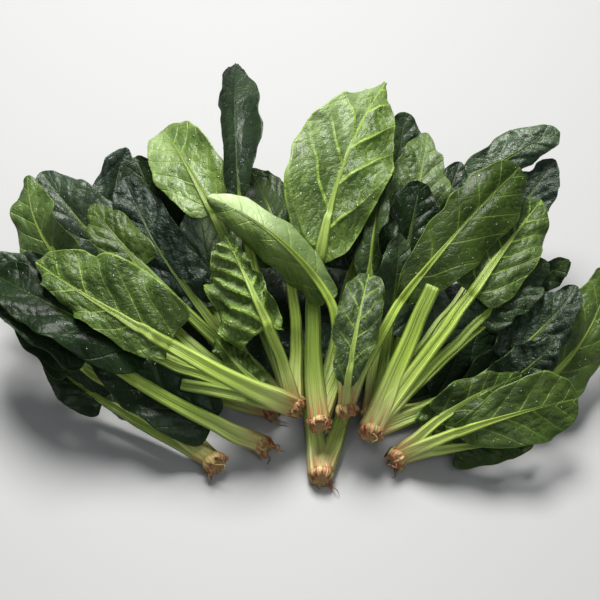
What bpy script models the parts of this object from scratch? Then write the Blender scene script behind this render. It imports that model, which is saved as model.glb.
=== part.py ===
"""A bunch of spinach: ten plants heaped in a fan, roots together at the front, blades spread behind.

Lengths below are millimetres, and are made into Blender's metres when a mesh is made. +Z is up and +Y is the
back of the heap. The origin is on the surface that the bunch lies on, under the foremost root. Each plant is one
node of root and leaf stalks, and one node for each blade.
"""

import math
from dataclasses import dataclass

import bmesh
import bpy
import numpy as np

MM = 0.001

# Blades and stalks lie on one another along this slant, as leaves heaped from the front do.
HEAP_SLANT = math.radians(46)
HEAP = np.array([0.0, -math.cos(HEAP_SLANT), math.sin(HEAP_SLANT)])
ACROSS = np.array([1.0, 0.0, 0.0])
ALONG = np.cross(HEAP, ACROSS)

BLADE_THICK = 0.8  # of the leaf between its ribs
RIB_DEPTH = (2.8, 0.5)  # of the midrib under the leaf, at the stalk and at the tip
RIB_HALF_WIDTH = 3.2  # of the blade where it leaves the stalk
TIP_HALF_WIDTH = 1.4
STALK_GAP = 0.8  # between a stalk's end and its blade
STALK_HALF = ((0.72, 0.46), (0.50, 0.40), (0.40, 0.32))  # half width and depth at root, middle and blade
LAY_GAP = 0.6  # left between things that lie on one another
FLOOR_GAP = 0.3

SLIVER = 0.03  # edges under this are taken out of a joined solid

STALK_ROWS = 6
STALK_SIDES = 6
BLADE_ROWS = 10
BLADE_COLUMNS = 5
ROOT_SIDES = 8

# Along the root from inside the stalks to the cut end: distance and share of the root's radius.
ROOT_PROFILE = ((-9.0, 0.45), (-4.0, 0.82), (1.5, 0.90), (4.0, 0.82), (5.5, 0.60))
ROOT_REACH = 20.0  # from a root, stalks of one plant grow out of one another
LIFT_FROM, LIFT_OVER = 4.0, 14.0  # a stalk is held by its root, and free to rise after that

# Shares of a blade's length or width.
ROLL_WITHIN = 0.3  # a blade's roll comes on over its first part
EAR_PLACE = 0.13  # where the base lobes reach back most
FOLD_FADE = 0.4  # of the fold, lost by the tip
SIDE_SHIFT = 0.37  # of a wave, between the waves of the two margins
END_ROWS = 0.4  # how much closer rows stand at the ends
PHASE_STEP = 0.618  # of a wave, from one leaf to the next


@dataclass
class Plant:
    """Where the stalks meet, the way the root points (heading and dip in degrees) and the root's radius."""

    name: str
    x: float
    y: float
    z: float
    root_heading: float
    root_dip: float = 8.0
    radius: float = 9.0
    rests: bool = False  # on the surface, with a flat spot

    @property
    def place(self):
        return np.array([self.x, self.y, self.z])


@dataclass
class Leaf:
    """A stalk and its blade. Angles are in degrees and headings are from +X towards +Y, seen from above."""

    plant: str
    heading: float  # of the stalk
    stalk: float  # length
    base_z: float  # height where the blade starts
    turn: float  # of the blade's heading from the stalk's
    blade: float  # length, 0 for a cut stalk
    tip_z: float
    width: float
    roll: float = 0.0  # lifts the blade's right side towards the heap's slant
    fold: float = 14.0  # of each half up from the midrib
    curl: float = -16.0  # more fold at the margin than at the midrib
    belly: float = 0.36  # where the blade is widest, from stalk to tip
    taper: float = 1.0  # how pointed the blade is
    lean: float = 0.0  # share of the width that the left half takes from the right
    ear: float = 7.0  # how far the base lobes reach back along the stalk
    wave: float = 3.0  # height of the waves in the margin
    waves: float = 2.5
    arch: float = 0.04  # rise of the blade's middle, as a share of its length
    bow: float = 0.0  # sideways bow of the stalk, as a share of its length
    thick: float = 8.0  # width of the stalk at its middle
    rests: bool = False  # lies on the surface, which flattens it


PLANTS = [
    Plant("front", 0, 0, 6.5, 266, 0, rests=True),
    Plant("far_left", -71, 9, 9, 300, 4, 9.0),
    Plant("left", -39, 22, 9, 318, 6, 8.0),
    Plant("under_left", -34, 53, 8, 290, 4, 7.0),
    Plant("under_right", 34, 51, 8, 256, 4, 7.0),
    Plant("right", 51, 12, 9, 218, 4, 8.5),
    Plant("middle", -1, 28, 27, 272, 12, 8.0),
    Plant("mid_left", -18, 38, 30, 320, 10, 8.0),
    Plant("mid_right", 16, 35, 33, 285, 14, 7.5),
    Plant("upper_right", 33, 20, 28, 256, 12, 8.5),
]

# From the bottom of the heap to its top.
LEAVES = [
    Leaf("under_left", 107, 22, 9, 7, 123, 6, 74, thick=7.5, rests=True),
    Leaf("front", 97, 77, 9, -2, 161, 6, 84, rests=True, thick=12),
    Leaf("front", 74, 82, 9, 6, 155, 6, 84, rests=True, thick=11),
    Leaf("under_right", 52, 26, 9, 6, 130, 6, 72, thick=7.5, rests=True),
    Leaf("under_left", 165, 41, 9, -40, 146, 6, 68, thick=7.5, rests=True),
    Leaf("under_right", 18, 46, 9, 29, 120, 6, 60, thick=7.5, rests=True),
    Leaf("far_left", 127, 59, 9, -1, 130, 7, 60, rests=True),
    Leaf("right", 35, 62, 9, 6, 108, 7, 60, rests=True),
    Leaf("under_right", 53, 165, 50, -1, 79, 84, 42, roll=20, fold=22),
    Leaf("under_right", 67, 180, 66, -39, 93, 98, 34, roll=-10, fold=-8, curl=-20, belly=0.5),
    Leaf("under_right", 68, 148, 65, 2, 56, 88, 34, roll=12, fold=20),
    Leaf("under_right", 83, 173, 66, -5, 65, 104, 34, roll=-10, belly=0.5, wave=4, waves=4),
    Leaf("under_right", 77, 131, 65, 0, 92, 94, 46, roll=-14, fold=20, wave=4, waves=3),
    Leaf("under_right", 75, 105, 62, 2, 68, 92, 38, fold=12, curl=-8, belly=0.5, taper=0.9),
    Leaf("under_left", 132, 177, 52, -48, 68, 88, 34, roll=-16, fold=26),
    Leaf("under_left", 138, 160, 46, -7, 92, 78, 54, roll=-16, fold=18, arch=0.1),
    Leaf("under_left", 147, 182, 53, -30, 76, 84, 40, roll=14, fold=16, arch=0.06),
    Leaf("under_left", 152, 169, 48, 12, 59, 60, 32, roll=-10),
    Leaf("under_left", 123, 116, 56, -4, 96, 96, 60, roll=10, fold=32, curl=16),
    Leaf("under_left", 120, 82, 53, -13, 66, 98, 62, roll=16, wave=4),
    Leaf("mid_left", 117, 143, 104, -2, 97, 107, 48, fold=8, curl=-6, belly=0.5, taper=0.9, ear=5, wave=2),
    Leaf("mid_left", 93, 106, 64, 17, 82, 90, 48, roll=14, wave=4),
    Leaf("middle", 78, 116, 58, -11, 59, 93, 52, fold=20),
    Leaf("middle", 70, 101, 63, 11, 125, 98, 26, roll=50, fold=24, ear=3),
    Leaf(
        "middle", 90, 111, 79, -19, 162, 122, 71, roll=4, fold=12, curl=-12, belly=0.46, taper=2.3,
        ear=12, wave=3.5, arch=0.08, thick=10.5, lean=0.05,
    ),
    Leaf("far_left", 149, 90, 14, -1, 52, 28, 30, wave=3.5),
    Leaf("far_left", 146, 117, 35, -13, 69, 48, 42, roll=-30, fold=24, bow=0.04),
    Leaf("left", 170, 36, 24, -21, 104, 47, 42, roll=-10, wave=3.5, thick=7),
    Leaf("left", 160, 129, 56, -17, 102, 60, 46, roll=-38, fold=28, bow=-0.02, thick=9),
    Leaf(
        "mid_left", 108, 143, 111, -15, 147, 122, 38, roll=-18, fold=44, curl=8, belly=0.45, taper=1.9,
        wave=0.3, lean=-0.12,
    ),
    Leaf("mid_left", 134, 99, 57, -12, 112, 95, 40, roll=6, curl=-14, belly=0.45, wave=4),
    Leaf("mid_left", 141, 141, 76, -13, 66, 89, 34, roll=-4, ear=5, wave=2),
    Leaf("mid_left", 176, 76, 47, -176, 0, 47, 0, thick=9),
    Leaf("mid_left", 167, 102, 58, -18, 140, 66, 48, roll=-26, fold=22, wave=3.5, waves=3),
    Leaf("mid_left", 173, 28, 48, -42, 48, 56, 20, roll=10, ear=3, wave=4.5, waves=4.5, thick=5, fold=0),
    Leaf(
        "mid_left", 116, 55, 70, 3, 70, 104, 42, roll=12, fold=-6, curl=-8, ear=12, wave=5.5,
        waves=3.5, lean=0.5,
    ),
    Leaf(
        "mid_left", 166, 92, 69, -20, 115, 82, 50, roll=-4, fold=16, curl=-22, ear=12, wave=4, waves=3,
        thick=11, lean=-0.36,
    ),
    Leaf("upper_right", 44, 159, 47, -25, 36, 66, 22, roll=10, thick=6),
    Leaf("right", 25, 109, 26, 32, 112, 58, 46, roll=-14, taper=1.1),
    Leaf("upper_right", 28, 104, 38, 14, 75, 66, 40, roll=20, fold=24, wave=4, thick=9),
    Leaf("right", 29, 82, 30, 1, 53, 61, 34, roll=10, wave=4),
    Leaf("upper_right", 43, 107, 59, 2, 73, 64, 34, roll=16, wave=4, thick=7.5),
    Leaf("upper_right", 79, 70, 48, 2, 70, 92, 34, roll=-8, fold=20),
    Leaf("upper_right", 50, 115, 72, 3, 94, 92, 50, roll=8, fold=12, thick=10),
    Leaf(
        "mid_right", 60, 84, 70, -14, 130, 112, 46, roll=-6, fold=12, curl=-8, belly=0.6, taper=1.1,
        ear=8, wave=2, lean=-0.12,
    ),
    Leaf("upper_right", 62, 104, 82, -62, 0, 82, 0, thick=12),
    Leaf(
        "mid_right", 100, 73, 78, 43, 109, 114, 36, roll=4, fold=-44, curl=-8, belly=0.45, bow=-0.07,
        thick=7.5, lean=0.2,
    ),
    Leaf("mid_right", 80, 18, 55, -2, 81, 84, 30, roll=4, fold=16, belly=0.6, ear=3, waves=3, thick=6),
    Leaf("right", 5, 38, 15, 0, 54, 16, 28, roll=-6, ear=8),
    Leaf("right", 29, 27, 24, 12, 40, 34, 26, roll=6, wave=4, waves=3.5, thick=5.5),
    Leaf("right", 25, 39, 34, 0, 62, 48, 28, roll=8),
    Leaf(
        "right", 4, 43, 32, 11, 85, 40, 44, roll=4, fold=8, curl=-12, belly=0.64, taper=1.2, ear=3,
        wave=1.5,
    ),
]


def unit(vector):
    return vector / np.linalg.norm(vector, axis=-1, keepdims=True)


def smooth(x):
    x = np.clip(x, 0.0, 1.0)
    return x * x * (3.0 - 2.0 * x)


def polar(heading, length, rise):
    """A step of that length and rise, on that heading in degrees."""
    level = math.sqrt(max(length * length - rise * rise, 0.0))
    angle = math.radians(heading)
    return np.array([level * math.cos(angle), level * math.sin(angle), rise])


def ends_of(leaf, root):
    """The points where the stalk leaves the root, where the blade starts, and the tip."""
    base = root + polar(leaf.heading, leaf.stalk, leaf.base_z - root[2])
    tip = base + polar(leaf.heading + leaf.turn, leaf.blade, leaf.tip_z - leaf.base_z)
    return base, tip


def hermite(t, start, end, leaving, arriving):
    """Points of the cubic from start to end with those tangents, and its direction."""
    t = t[:, None]
    points = (
        (2 * t**3 - 3 * t**2 + 1) * start
        + (t**3 - 2 * t**2 + t) * leaving
        + (3 * t**2 - 2 * t**3) * end
        + (t**3 - t**2) * arriving
    )
    slope = (
        (6 * t**2 - 6 * t) * (start - end)
        + (3 * t**2 - 4 * t + 1) * leaving
        + (3 * t**2 - 2 * t) * arriving
    )
    return points, unit(slope)


def ways_of(leaf, root):
    """Both ends, and the directions of the stalk, of the blade and of the leaf where they meet."""
    base, tip = ends_of(leaf, root)
    out = unit(base - root)
    on = unit(tip - base) if leaf.blade else out
    return base, tip, out, on, unit(out + on)


def stalk_line(leaf, root, share):
    """Points and directions along the stalk."""
    base, _, out, _, through = ways_of(leaf, root)
    points, way = hermite(share, root, base, unit(2 * out - through) * leaf.stalk, through * leaf.stalk)
    bow = leaf.bow * leaf.stalk * np.sin(math.pi * share) ** 2
    return points + unit(np.cross(out, HEAP)) * bow[:, None], way


def blade_line(leaf, root, share):
    """Points and directions along the blade's midrib, which carries on from the stalk."""
    base, tip, _, on, through = ways_of(leaf, root)
    return hermite(share, base, tip, through * leaf.blade, unit(2 * on - through) * leaf.blade)


def faces_of(way):
    """For each direction, the sideways vector and the one nearest the heap's slant, all at right angles."""
    front = unit(HEAP - (way @ HEAP)[:, None] * way)
    return np.cross(way, front), front


def half_width(leaf, share):
    """Of the blade, rising from the stalk, widest at the belly and round at the tip."""
    rise = np.clip(share / leaf.belly, 0, None) ** (leaf.taper * leaf.belly)
    fall = np.clip((1 - share) / (1 - leaf.belly), 0, None) ** (leaf.taper * (1 - leaf.belly))
    least = RIB_HALF_WIDTH + (TIP_HALF_WIDTH - RIB_HALF_WIDTH) * share
    return np.sqrt((leaf.width / 2 * rise * fall) ** 2 + least**2)


def blade_surface(leaf, root, phase, share, side):
    """The blade's upper face as a grid of points, shares along it by sides from -1 to 1, and its normals."""
    line, way = blade_line(leaf, root, share)
    across, front = faces_of(way)
    twist = np.radians(leaf.roll) * smooth(share / ROLL_WITHIN)
    turn, lift = np.cos(twist)[:, None], np.sin(twist)[:, None]
    across, front = across * turn + front * lift, front * turn - across * lift
    out = np.abs(side)[None, :]
    hand = np.sign(side)[None, :]
    slope = np.radians(leaf.fold * (1 - FOLD_FADE * share)[:, None] + leaf.curl * out / 2)
    reach = half_width(leaf, share)[:, None] * out * (1 - leaf.lean * hand)
    ripple = np.sin(2 * math.pi * (leaf.waves * share[:, None] + phase + SIDE_SHIFT * hand))
    ruffle = leaf.wave * ripple * out**2 * np.sqrt(np.sin(math.pi * share))[:, None]
    near_base = (share / EAR_PLACE * np.exp(1 - share / EAR_PLACE))[:, None]
    back = leaf.ear * out**1.5 * near_base
    bulge = (leaf.arch * leaf.blade * np.sin(math.pi * share))[:, None]
    points = (
        line[:, None]
        + across[:, None] * (hand * reach * np.cos(slope))[..., None]
        + front[:, None] * (reach * np.sin(slope) + ruffle + bulge)[..., None]
        - way[:, None] * back[..., None]
    )
    normals = unit(np.cross(np.gradient(points, axis=1), np.gradient(points, axis=0)))
    normals[0] = front[0]
    return points, normals


def spread(even):
    """Shares of the blade's length for even steps, closer together at its ends."""
    return (1 - END_ROWS) * even + END_ROWS / 2 * (1 - np.cos(math.pi * even))


def blade_depth(share, side):
    """Thickness of the blade: thin, with a rib along the middle of its underside."""
    rib = RIB_DEPTH[0] + (RIB_DEPTH[1] - RIB_DEPTH[0]) * share**0.7
    return BLADE_THICK + rib[:, None] * (side == 0)[None, :]


def stalk_surface(leaf, root, share):
    """Rings of points round the stalk, which is widest at the root."""
    line, way = stalk_line(leaf, root, share)
    if leaf.blade:
        line = np.vstack([line[:-1], line[-1] - way[-1] * STALK_GAP])
    across, front = faces_of(way)
    at = (0.0, 0.5, 1.0)
    wide = leaf.thick * np.interp(share, at, [half[0] for half in STALK_HALF])
    deep = leaf.thick * np.interp(share, at, [half[1] for half in STALK_HALF])
    angle = 2 * math.pi * np.arange(STALK_SIDES) / STALK_SIDES
    return (
        line[:, None]
        + across[:, None] * (wide[:, None] * np.cos(angle))[..., None]
        + front[:, None] * (deep[:, None] * np.sin(angle))[..., None]
    )


def root_surface(plant, place):
    """Rings of points round the root, flat where it meets the surface under it."""
    angle = math.radians(plant.root_heading)
    dip = math.radians(plant.root_dip)
    way = np.array(
        [math.cos(dip) * math.cos(angle), math.cos(dip) * math.sin(angle), -math.sin(dip)]
    )
    across = unit(np.cross(way, [0.0, 0.0, 1.0]))
    up = np.cross(across, way)
    turns = 2 * math.pi * (np.arange(ROOT_SIDES) + 0.5) / ROOT_SIDES
    rings = np.array(
        [
            place
            + way * far
            + plant.radius * share * (np.cos(turns)[:, None] * across + np.sin(turns)[:, None] * up)
            for far, share in ROOT_PROFILE
        ]
    )
    rings[..., 2] = np.maximum(rings[..., 2], 0.0)
    return rings


class Heap:
    """How high the heap stands along its slant, on a grid seen along that slant."""

    CELL = 1.5
    LOW = np.array([-300.0, -120.0])
    CELLS = (400, 340)
    EACH_WAY = 10  # samples along each side of a face

    def __init__(self):
        self.tops = {}  # of the blades, and of each plant's root and stalks
        step = (np.arange(self.EACH_WAY) + 0.5) / self.EACH_WAY
        a, b = (grid.ravel() for grid in np.meshgrid(step, step))
        self.weights = np.array([(1 - a) * (1 - b), a * (1 - b), (1 - a) * b, a * b])

    def samples(self, grid):
        """Points spread over each face of a grid of points."""
        corners = np.array([grid[:-1, :-1], grid[1:, :-1], grid[:-1, 1:], grid[1:, 1:]])
        return np.einsum("krcx,ks->rcsx", corners, self.weights)

    def cells(self, points):
        flat = np.stack([points @ ACROSS, points @ ALONG], axis=-1)
        index = ((flat - self.LOW) / self.CELL).astype(int)
        return tuple(np.clip(index[..., k], 1, self.CELLS[k] - 2) for k in (0, 1))

    def add(self, grid, owner="blades"):
        points = self.samples(grid)
        top = self.tops.setdefault(owner, np.full(self.CELLS, -np.inf))
        np.maximum.at(top, self.cells(points), points @ HEAP)

    def needed(self, grid, rests=False, owner=None):
        """For each face, how far along the slant it has to move to lie on the heap and above the surface.

        Stalks of one plant grow together, so an owner's own stalks don't count.
        """
        points = self.samples(grid)
        x, y = self.cells(points)
        others = [top for name, top in self.tops.items() if name != owner]
        top = np.max([*others, np.full(self.CELLS, -1e3)], axis=0)
        around = [top[x + i, y + j] for i in (-1, 0, 1) for j in (-1, 0, 1)]
        heaped = np.max(around, axis=0) + LAY_GAP - points @ HEAP
        grounded = (0.0 if rests else FLOOR_GAP) - points[..., 2] / HEAP[2]
        return np.maximum(heaped, grounded).max(axis=2)


def at_corners(faces):
    """The most that any face round each corner needs."""
    padded = np.pad(faces, 1, constant_values=0.0)
    return np.max([padded[:-1, :-1], padded[1:, :-1], padded[:-1, 1:], padded[1:, 1:]], axis=0)


def eased(need, rows=1, columns=1):
    """A smooth lift that is nowhere less than the need."""

    def windows(values):
        padded = np.pad(values, ((rows, rows), (columns, columns)), mode="edge")
        return np.lib.stride_tricks.sliding_window_view(padded, (2 * rows + 1, 2 * columns + 1))

    return windows(windows(need).max(axis=(2, 3))).mean(axis=(2, 3))


def closed_ring(rings):
    return np.concatenate([rings, rings[:, :1]], axis=1)


def lay_root(plant, leaves, heap):
    """Where the root comes to lie, clear of the heap with the start of each of its stalks."""
    place = plant.place
    need = heap.needed(closed_ring(root_surface(plant, place))).max()
    for leaf in leaves:
        start = np.array([3.0, ROOT_REACH]) / leaf.stalk
        need = max(need, heap.needed(closed_ring(stalk_surface(leaf, place, start))).max())
    if not plant.rests:
        place = place + max(need, 0.0) * HEAP
    heap.add(closed_ring(root_surface(plant, place)), plant.name)
    return place


def lay(leaf, root, phase, heap):
    """The stalk's rings and the blade's upper and lower faces, lifted to lie on the heap."""
    along = np.linspace(0, 1, STALK_ROWS + 1)
    rings = stalk_surface(leaf, root, along)
    even = np.linspace(0, 1, BLADE_ROWS + 1)
    share = spread(even)
    side = np.linspace(-1, 1, BLADE_COLUMNS)
    upper, lower = None, None
    if leaf.blade:
        upper, normals = blade_surface(leaf, root, phase, share, side)
        lower = upper - normals * blade_depth(share, side)[..., None]
    if leaf.rests:
        if upper is not None:
            lower[..., 2] = np.maximum(lower[..., 2], 0.0)
            upper[..., 2] = np.maximum(upper[..., 2], lower[..., 2] + BLADE_THICK)
        rings[..., 2] = np.maximum(rings[..., 2], 0.0)
    faces_need = heap.needed(closed_ring(rings), leaf.rests, leaf.plant)
    faces_need[along[1:] * leaf.stalk < ROOT_REACH] = 0.0
    stalk_need = at_corners(faces_need).max(axis=1)
    need = np.repeat(stalk_need[:, None], BLADE_COLUMNS, axis=1)
    if leaf.blade:
        blade_need = np.maximum(heap.needed(upper, leaf.rests), heap.needed(lower, leaf.rests))
        blade_need = at_corners(blade_need)
        need = np.vstack([need[:-1], np.maximum(need[-1:], blade_need[:1]), blade_need[1:]])
    lift = eased(np.maximum(need, 0.0))
    free = smooth((along * leaf.stalk - LIFT_FROM) / LIFT_OVER)
    lift[: STALK_ROWS + 1] = lift[: STALK_ROWS + 1].max(axis=1, keepdims=True) * free[:, None]
    rings = rings + lift[: STALK_ROWS + 1, :1, None] * HEAP
    if leaf.blade:
        upper = upper + lift[STALK_ROWS:, :, None] * HEAP
        lower = lower + lift[STALK_ROWS:, :, None] * HEAP
    heap.add(closed_ring(rings), leaf.plant)
    if leaf.blade:
        heap.add(upper)
        heap.add(lower)
    return rings, upper, lower


def material(name, colour, roughness):
    made = bpy.data.materials.new(name)
    made.use_nodes = True
    shader = made.node_tree.nodes["Principled BSDF"]
    shader.inputs["Base Color"].default_value = (*colour, 1.0)
    shader.inputs["Roughness"].default_value = roughness
    return made


def add_object(name, points, faces, finish):
    mesh = bpy.data.meshes.new(name)
    mesh.from_pydata((np.asarray(points) * MM).tolist(), [], faces)
    mesh.validate()
    mesh.materials.append(finish)
    made = bpy.data.objects.new(name, mesh)
    bpy.context.scene.collection.objects.link(made)
    return made


def tube(name, rings, finish):
    """A closed body through rings of points, with flat ends."""
    count, sides = rings.shape[:2]
    faces = []
    for r in range(count - 1):
        for k in range(sides):
            here, there = r * sides + k, r * sides + (k + 1) % sides
            faces.append((here, here + sides, there + sides, there))
    faces.append(tuple(range(sides)))
    faces.append(tuple((count - 1) * sides + k for k in reversed(range(sides))))
    return add_object(name, rings.reshape(-1, 3), faces, finish)


def blade(name, upper, lower, finish):
    """A thin closed body between two faces, split into triangles alike on both."""
    rows, columns = upper.shape[:2]
    below = rows * columns
    faces = []
    for r in range(rows - 1):
        for c in range(columns - 1):
            a, b = r * columns + c, r * columns + c + 1
            d, e = a + columns, b + columns
            split = [(a, b, e), (a, e, d)] if c < columns // 2 else [(a, b, d), (b, e, d)]
            faces += split
            faces += [tuple(below + k for k in reversed(triangle)) for triangle in split]
    edge = [c for c in range(columns)]
    edge += [r * columns + columns - 1 for r in range(1, rows)]
    edge += [(rows - 1) * columns + c for c in range(columns - 2, -1, -1)]
    edge += [r * columns for r in range(rows - 2, 0, -1)]
    for k, a in enumerate(edge):
        b = edge[(k + 1) % len(edge)]
        faces += [(b, a, below + a), (b, below + a, below + b)]
    made = add_object(name, np.vstack([upper.reshape(-1, 3), lower.reshape(-1, 3)]), faces, finish)
    made.data.shade_smooth()
    return made


def join(name, body, others):
    """One solid of a root and its stalks."""
    group = bpy.data.collections.new(name)
    for other in others:
        group.objects.link(other)
    union = body.modifiers.new("stalks", "BOOLEAN")
    union.operation = "UNION"
    union.operand_type = "COLLECTION"
    union.collection = group
    union.solver = "MANIFOLD"
    bpy.context.view_layer.update()
    graph = bpy.context.evaluated_depsgraph_get()
    joined = bpy.data.meshes.new_from_object(body.evaluated_get(graph))
    shape = bmesh.new()
    shape.from_mesh(joined)
    bmesh.ops.remove_doubles(shape, verts=shape.verts, dist=SLIVER * MM)
    bmesh.ops.dissolve_degenerate(shape, edges=shape.edges, dist=SLIVER * MM)
    bmesh.ops.triangulate(shape, faces=shape.faces)
    shape.to_mesh(joined)
    shape.free()
    body.modifiers.clear()
    body.data = joined
    body.name = name
    for other in others:
        bpy.data.objects.remove(other)
    bpy.data.collections.remove(group)
    return body


def build():
    for old in list(bpy.data.objects):
        bpy.data.objects.remove(old)
    stalk_finish = material("stalk", (0.42, 0.58, 0.16), 0.45)
    blade_finish = material("blade", (0.06, 0.17, 0.03), 0.4)
    plants = {plant.name: plant for plant in PLANTS}
    heap = Heap()
    places, roots = {}, {}
    stalks, counts = {name: [] for name in plants}, dict.fromkeys(plants, 0)
    for number, leaf in enumerate(LEAVES):
        plant = plants[leaf.plant]
        if leaf.plant not in roots:
            own = [other for other in LEAVES if other.plant == leaf.plant]
            places[leaf.plant] = lay_root(plant, own, heap)
            rings = root_surface(plant, places[leaf.plant])
            roots[leaf.plant] = tube(leaf.plant + "_root", rings, stalk_finish)
        phase = PHASE_STEP * number % 1.0
        rings, upper, lower = lay(leaf, places[leaf.plant], phase, heap)
        stalks[leaf.plant].append(tube(f"{leaf.plant}_stalk_{number}", rings, stalk_finish))
        if leaf.blade:
            counts[leaf.plant] += 1
            blade(f"{leaf.plant}_blade_{counts[leaf.plant]}", upper, lower, blade_finish)
    for name, body in roots.items():
        join(name + "_stalks", body, stalks[name])


build()
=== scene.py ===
"""The looks of the spinach bunch: veined, puckered blades and ribbed stalks laid where the solids lie.

Lengths are millimetres, as in the part's source, and become metres where a mesh is made. The tables and
rules that lay one leaf on another are the part's own, so a fine piece starts from the place of its solid.
"""

import math
from dataclasses import dataclass

import bpy
import numpy as np
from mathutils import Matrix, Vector


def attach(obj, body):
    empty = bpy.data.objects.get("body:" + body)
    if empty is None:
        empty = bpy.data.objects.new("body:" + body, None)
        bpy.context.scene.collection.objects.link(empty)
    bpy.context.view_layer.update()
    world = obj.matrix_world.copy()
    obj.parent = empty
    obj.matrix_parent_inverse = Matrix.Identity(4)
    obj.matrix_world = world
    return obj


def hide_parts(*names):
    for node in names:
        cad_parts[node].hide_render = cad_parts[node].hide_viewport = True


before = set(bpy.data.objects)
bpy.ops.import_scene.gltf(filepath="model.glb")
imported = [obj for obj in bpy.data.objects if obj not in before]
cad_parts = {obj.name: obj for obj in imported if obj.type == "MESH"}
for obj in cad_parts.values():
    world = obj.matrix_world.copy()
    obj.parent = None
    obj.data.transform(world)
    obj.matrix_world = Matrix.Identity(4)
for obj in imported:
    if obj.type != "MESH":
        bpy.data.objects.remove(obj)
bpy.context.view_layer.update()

MM = 0.001

VIEW_DOWN = math.radians(46)  # how steeply the camera looks down
AIM = np.array([-14.0, 117.0, 50.0])
DISTANCE = 850.0
LENS = 73.0
SENSOR = 36.0

# Detail of the fine pieces: steps, and the fewest and most rows, columns from midrib to margin, and rings.
ROW_STEP = 1.4
ROWS_WITHIN = (28, 104)
COLUMN_STEP = 1.0
COLUMN_CROWDING = 1.25  # 1 for even columns, more for closer ones by the midrib
HALF_COLUMNS_WITHIN = (12, 32)
STALK_STEP = 3.0
STALK_ROWS_WITHIN = (12, 60)
FINE_SIDES = 48
ROOT_FINE_SIDES = 56
ROOT_RINGS = 30
ROOT_LOBES = 7
ROOT_LOBED = 0.10  # of the radius
ROOT_RIBS = 17
ROOT_RIBBED = 0.035
ROOT_PATTERN = 1.6
ROOT_ROUGH = (0.08, 0.05)
BARED_FROM, BARED_OVER = 2.0, 3.0  # where the torn end starts
JAGGED = (2.0, 1.6)
ROOT_MERGE = 10.0  # over which the root comes out from between its stalks
RIB_REACH = 85.0  # of the stalk over the blade, as its midrib
RIB_SHARE = 0.8  # of the blade's length, at most
RIB_TIP = (0.5, 0.5)  # half its width and depth there
RIB_SUNK = 0.5  # of its depth, in the blade
LEAF_THICK = 0.55
STALK_GROOVE = 0.5  # of the stalk's half depth, along its front
GROOVE_WIDE = 0.42
STALK_WOBBLE = 1.2
WOBBLE_SIZE = 21.0
STEADY_END = 25.0
GROOVE_FROM = 30.0
SWOLLEN = 0.05
SWOLLEN_SIZE = 9.0
STALK_RIBS = 0.045
CAP_INSET = 0.86  # of an end's radius, where it closes
EASE_OVER = 4  # rows and columns over which a fine lift is spread
EASE_FROM = 0.12  # of the blade's length, where it starts
LEAST_TOP = 0.2

# Dry scales and thin curled roots round each cut end.
SCALES = 5
SCALE_LENGTH = (5, 9)
SCALE_HALF = (1.4, 2.6)
SCALE_DEEP = 0.3
ROOTLET_LENGTH = (6, 15)
ROOTLET_HALF = (0.55, 0.45)
ROOTLET_DROOP = 6.0
STRAND_SIDES = 6
STRAND_RINGS = 12

# Veins and the relief between them.
SIDE_VEINS = 5.2
LEAST_VEIN_GAP = 11.0
VEIN_LEAN = 1.35
VEIN_BEND = 0.006
VEIN_WANDER = 5.0
WANDER_SIZE = 24.0
VEIN_STAGGER = 0.22  # of the spacing, between the two sides of the midrib
STAGGER_WITHIN = 1.5
BOLD_VEIN = 0.78  # above which the leaf shows its underside, where pads are hollows
PADS_TURNED = 2.6
VEIN_WIDTH = 0.9
RAISED_WIDTH = 1.5
RIB_WIDTH = (2.3, 0.8)
RIB_RAISED = 1.6
VEIN_RAISED = 1.1
VEIN_GROOVE = 0.5
VEIN_RIDGE = 0.7
PAD_HEIGHT = 3.6
PUCKER_SIZE = 6.0
PUCKER_HEIGHT = 1.9
MIDDLE_LEVEL = 0.6  # of a pad or pucker, left at the height of the plain leaf
CELL_BEND = 0.35
BEND_SIZE = 5.0
FLAT_BY_RIB = 8.0
FLAT_ENDS = (0.1, 0.08)  # of the blade's length, at the stalk and at the tip
SWELL_SIZE = 26.0
SWELL_HEIGHT = 2.4
FRILL_SIZE = 8.0
FRILL_HEIGHT = 2.6
RAGGED_SIZE = 11.0
EDGE_RAGGED = 1.8
RAGGED_ENDS = (0.06, 0.1)
ROLL_SIZE = 34.0
EDGE_ROLL = 3.0

# What the stalks' finish reads at each point.
STALK_VALUES = ("from_root", "along", "skin", "stem", "tone", "vein", "sunk", "flank", "front")

# Grain of the finishes, in repeats a millimetre. A stalk's are along, across and deep.
CLOUD_GRAIN = 0.045
NET_GRAIN = 0.65
SPECKLE_GRAIN = 0.9
CREASE_GRAIN = 0.28
STREAK_GRAIN = (0.01, 0.62, 0.62)
RIDGE_GRAIN = (0.006, 0.3, 0.3)
FIBRE_GRAIN = (0.03, 2.6, 2.6)
BLUSH_GRAIN = (0.05, 0.5, 0.5)
SKIN_GRAIN = (0.5, 0.3, 0.3)
SCAR_GRAIN = (0.3, 0.6, 0.6)
CUT_GRAIN = (0.1, 0.7, 0.7)


def srgb(red, green, blue):
    """A colour given as it is seen, 0 to 255, in the linear values that a shader takes."""
    values = np.array([red, green, blue]) / 255
    linear = np.where(values <= 0.04045, values / 12.92, ((values + 0.055) / 1.055) ** 2.4)
    return (*linear.tolist(), 1.0)


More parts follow.
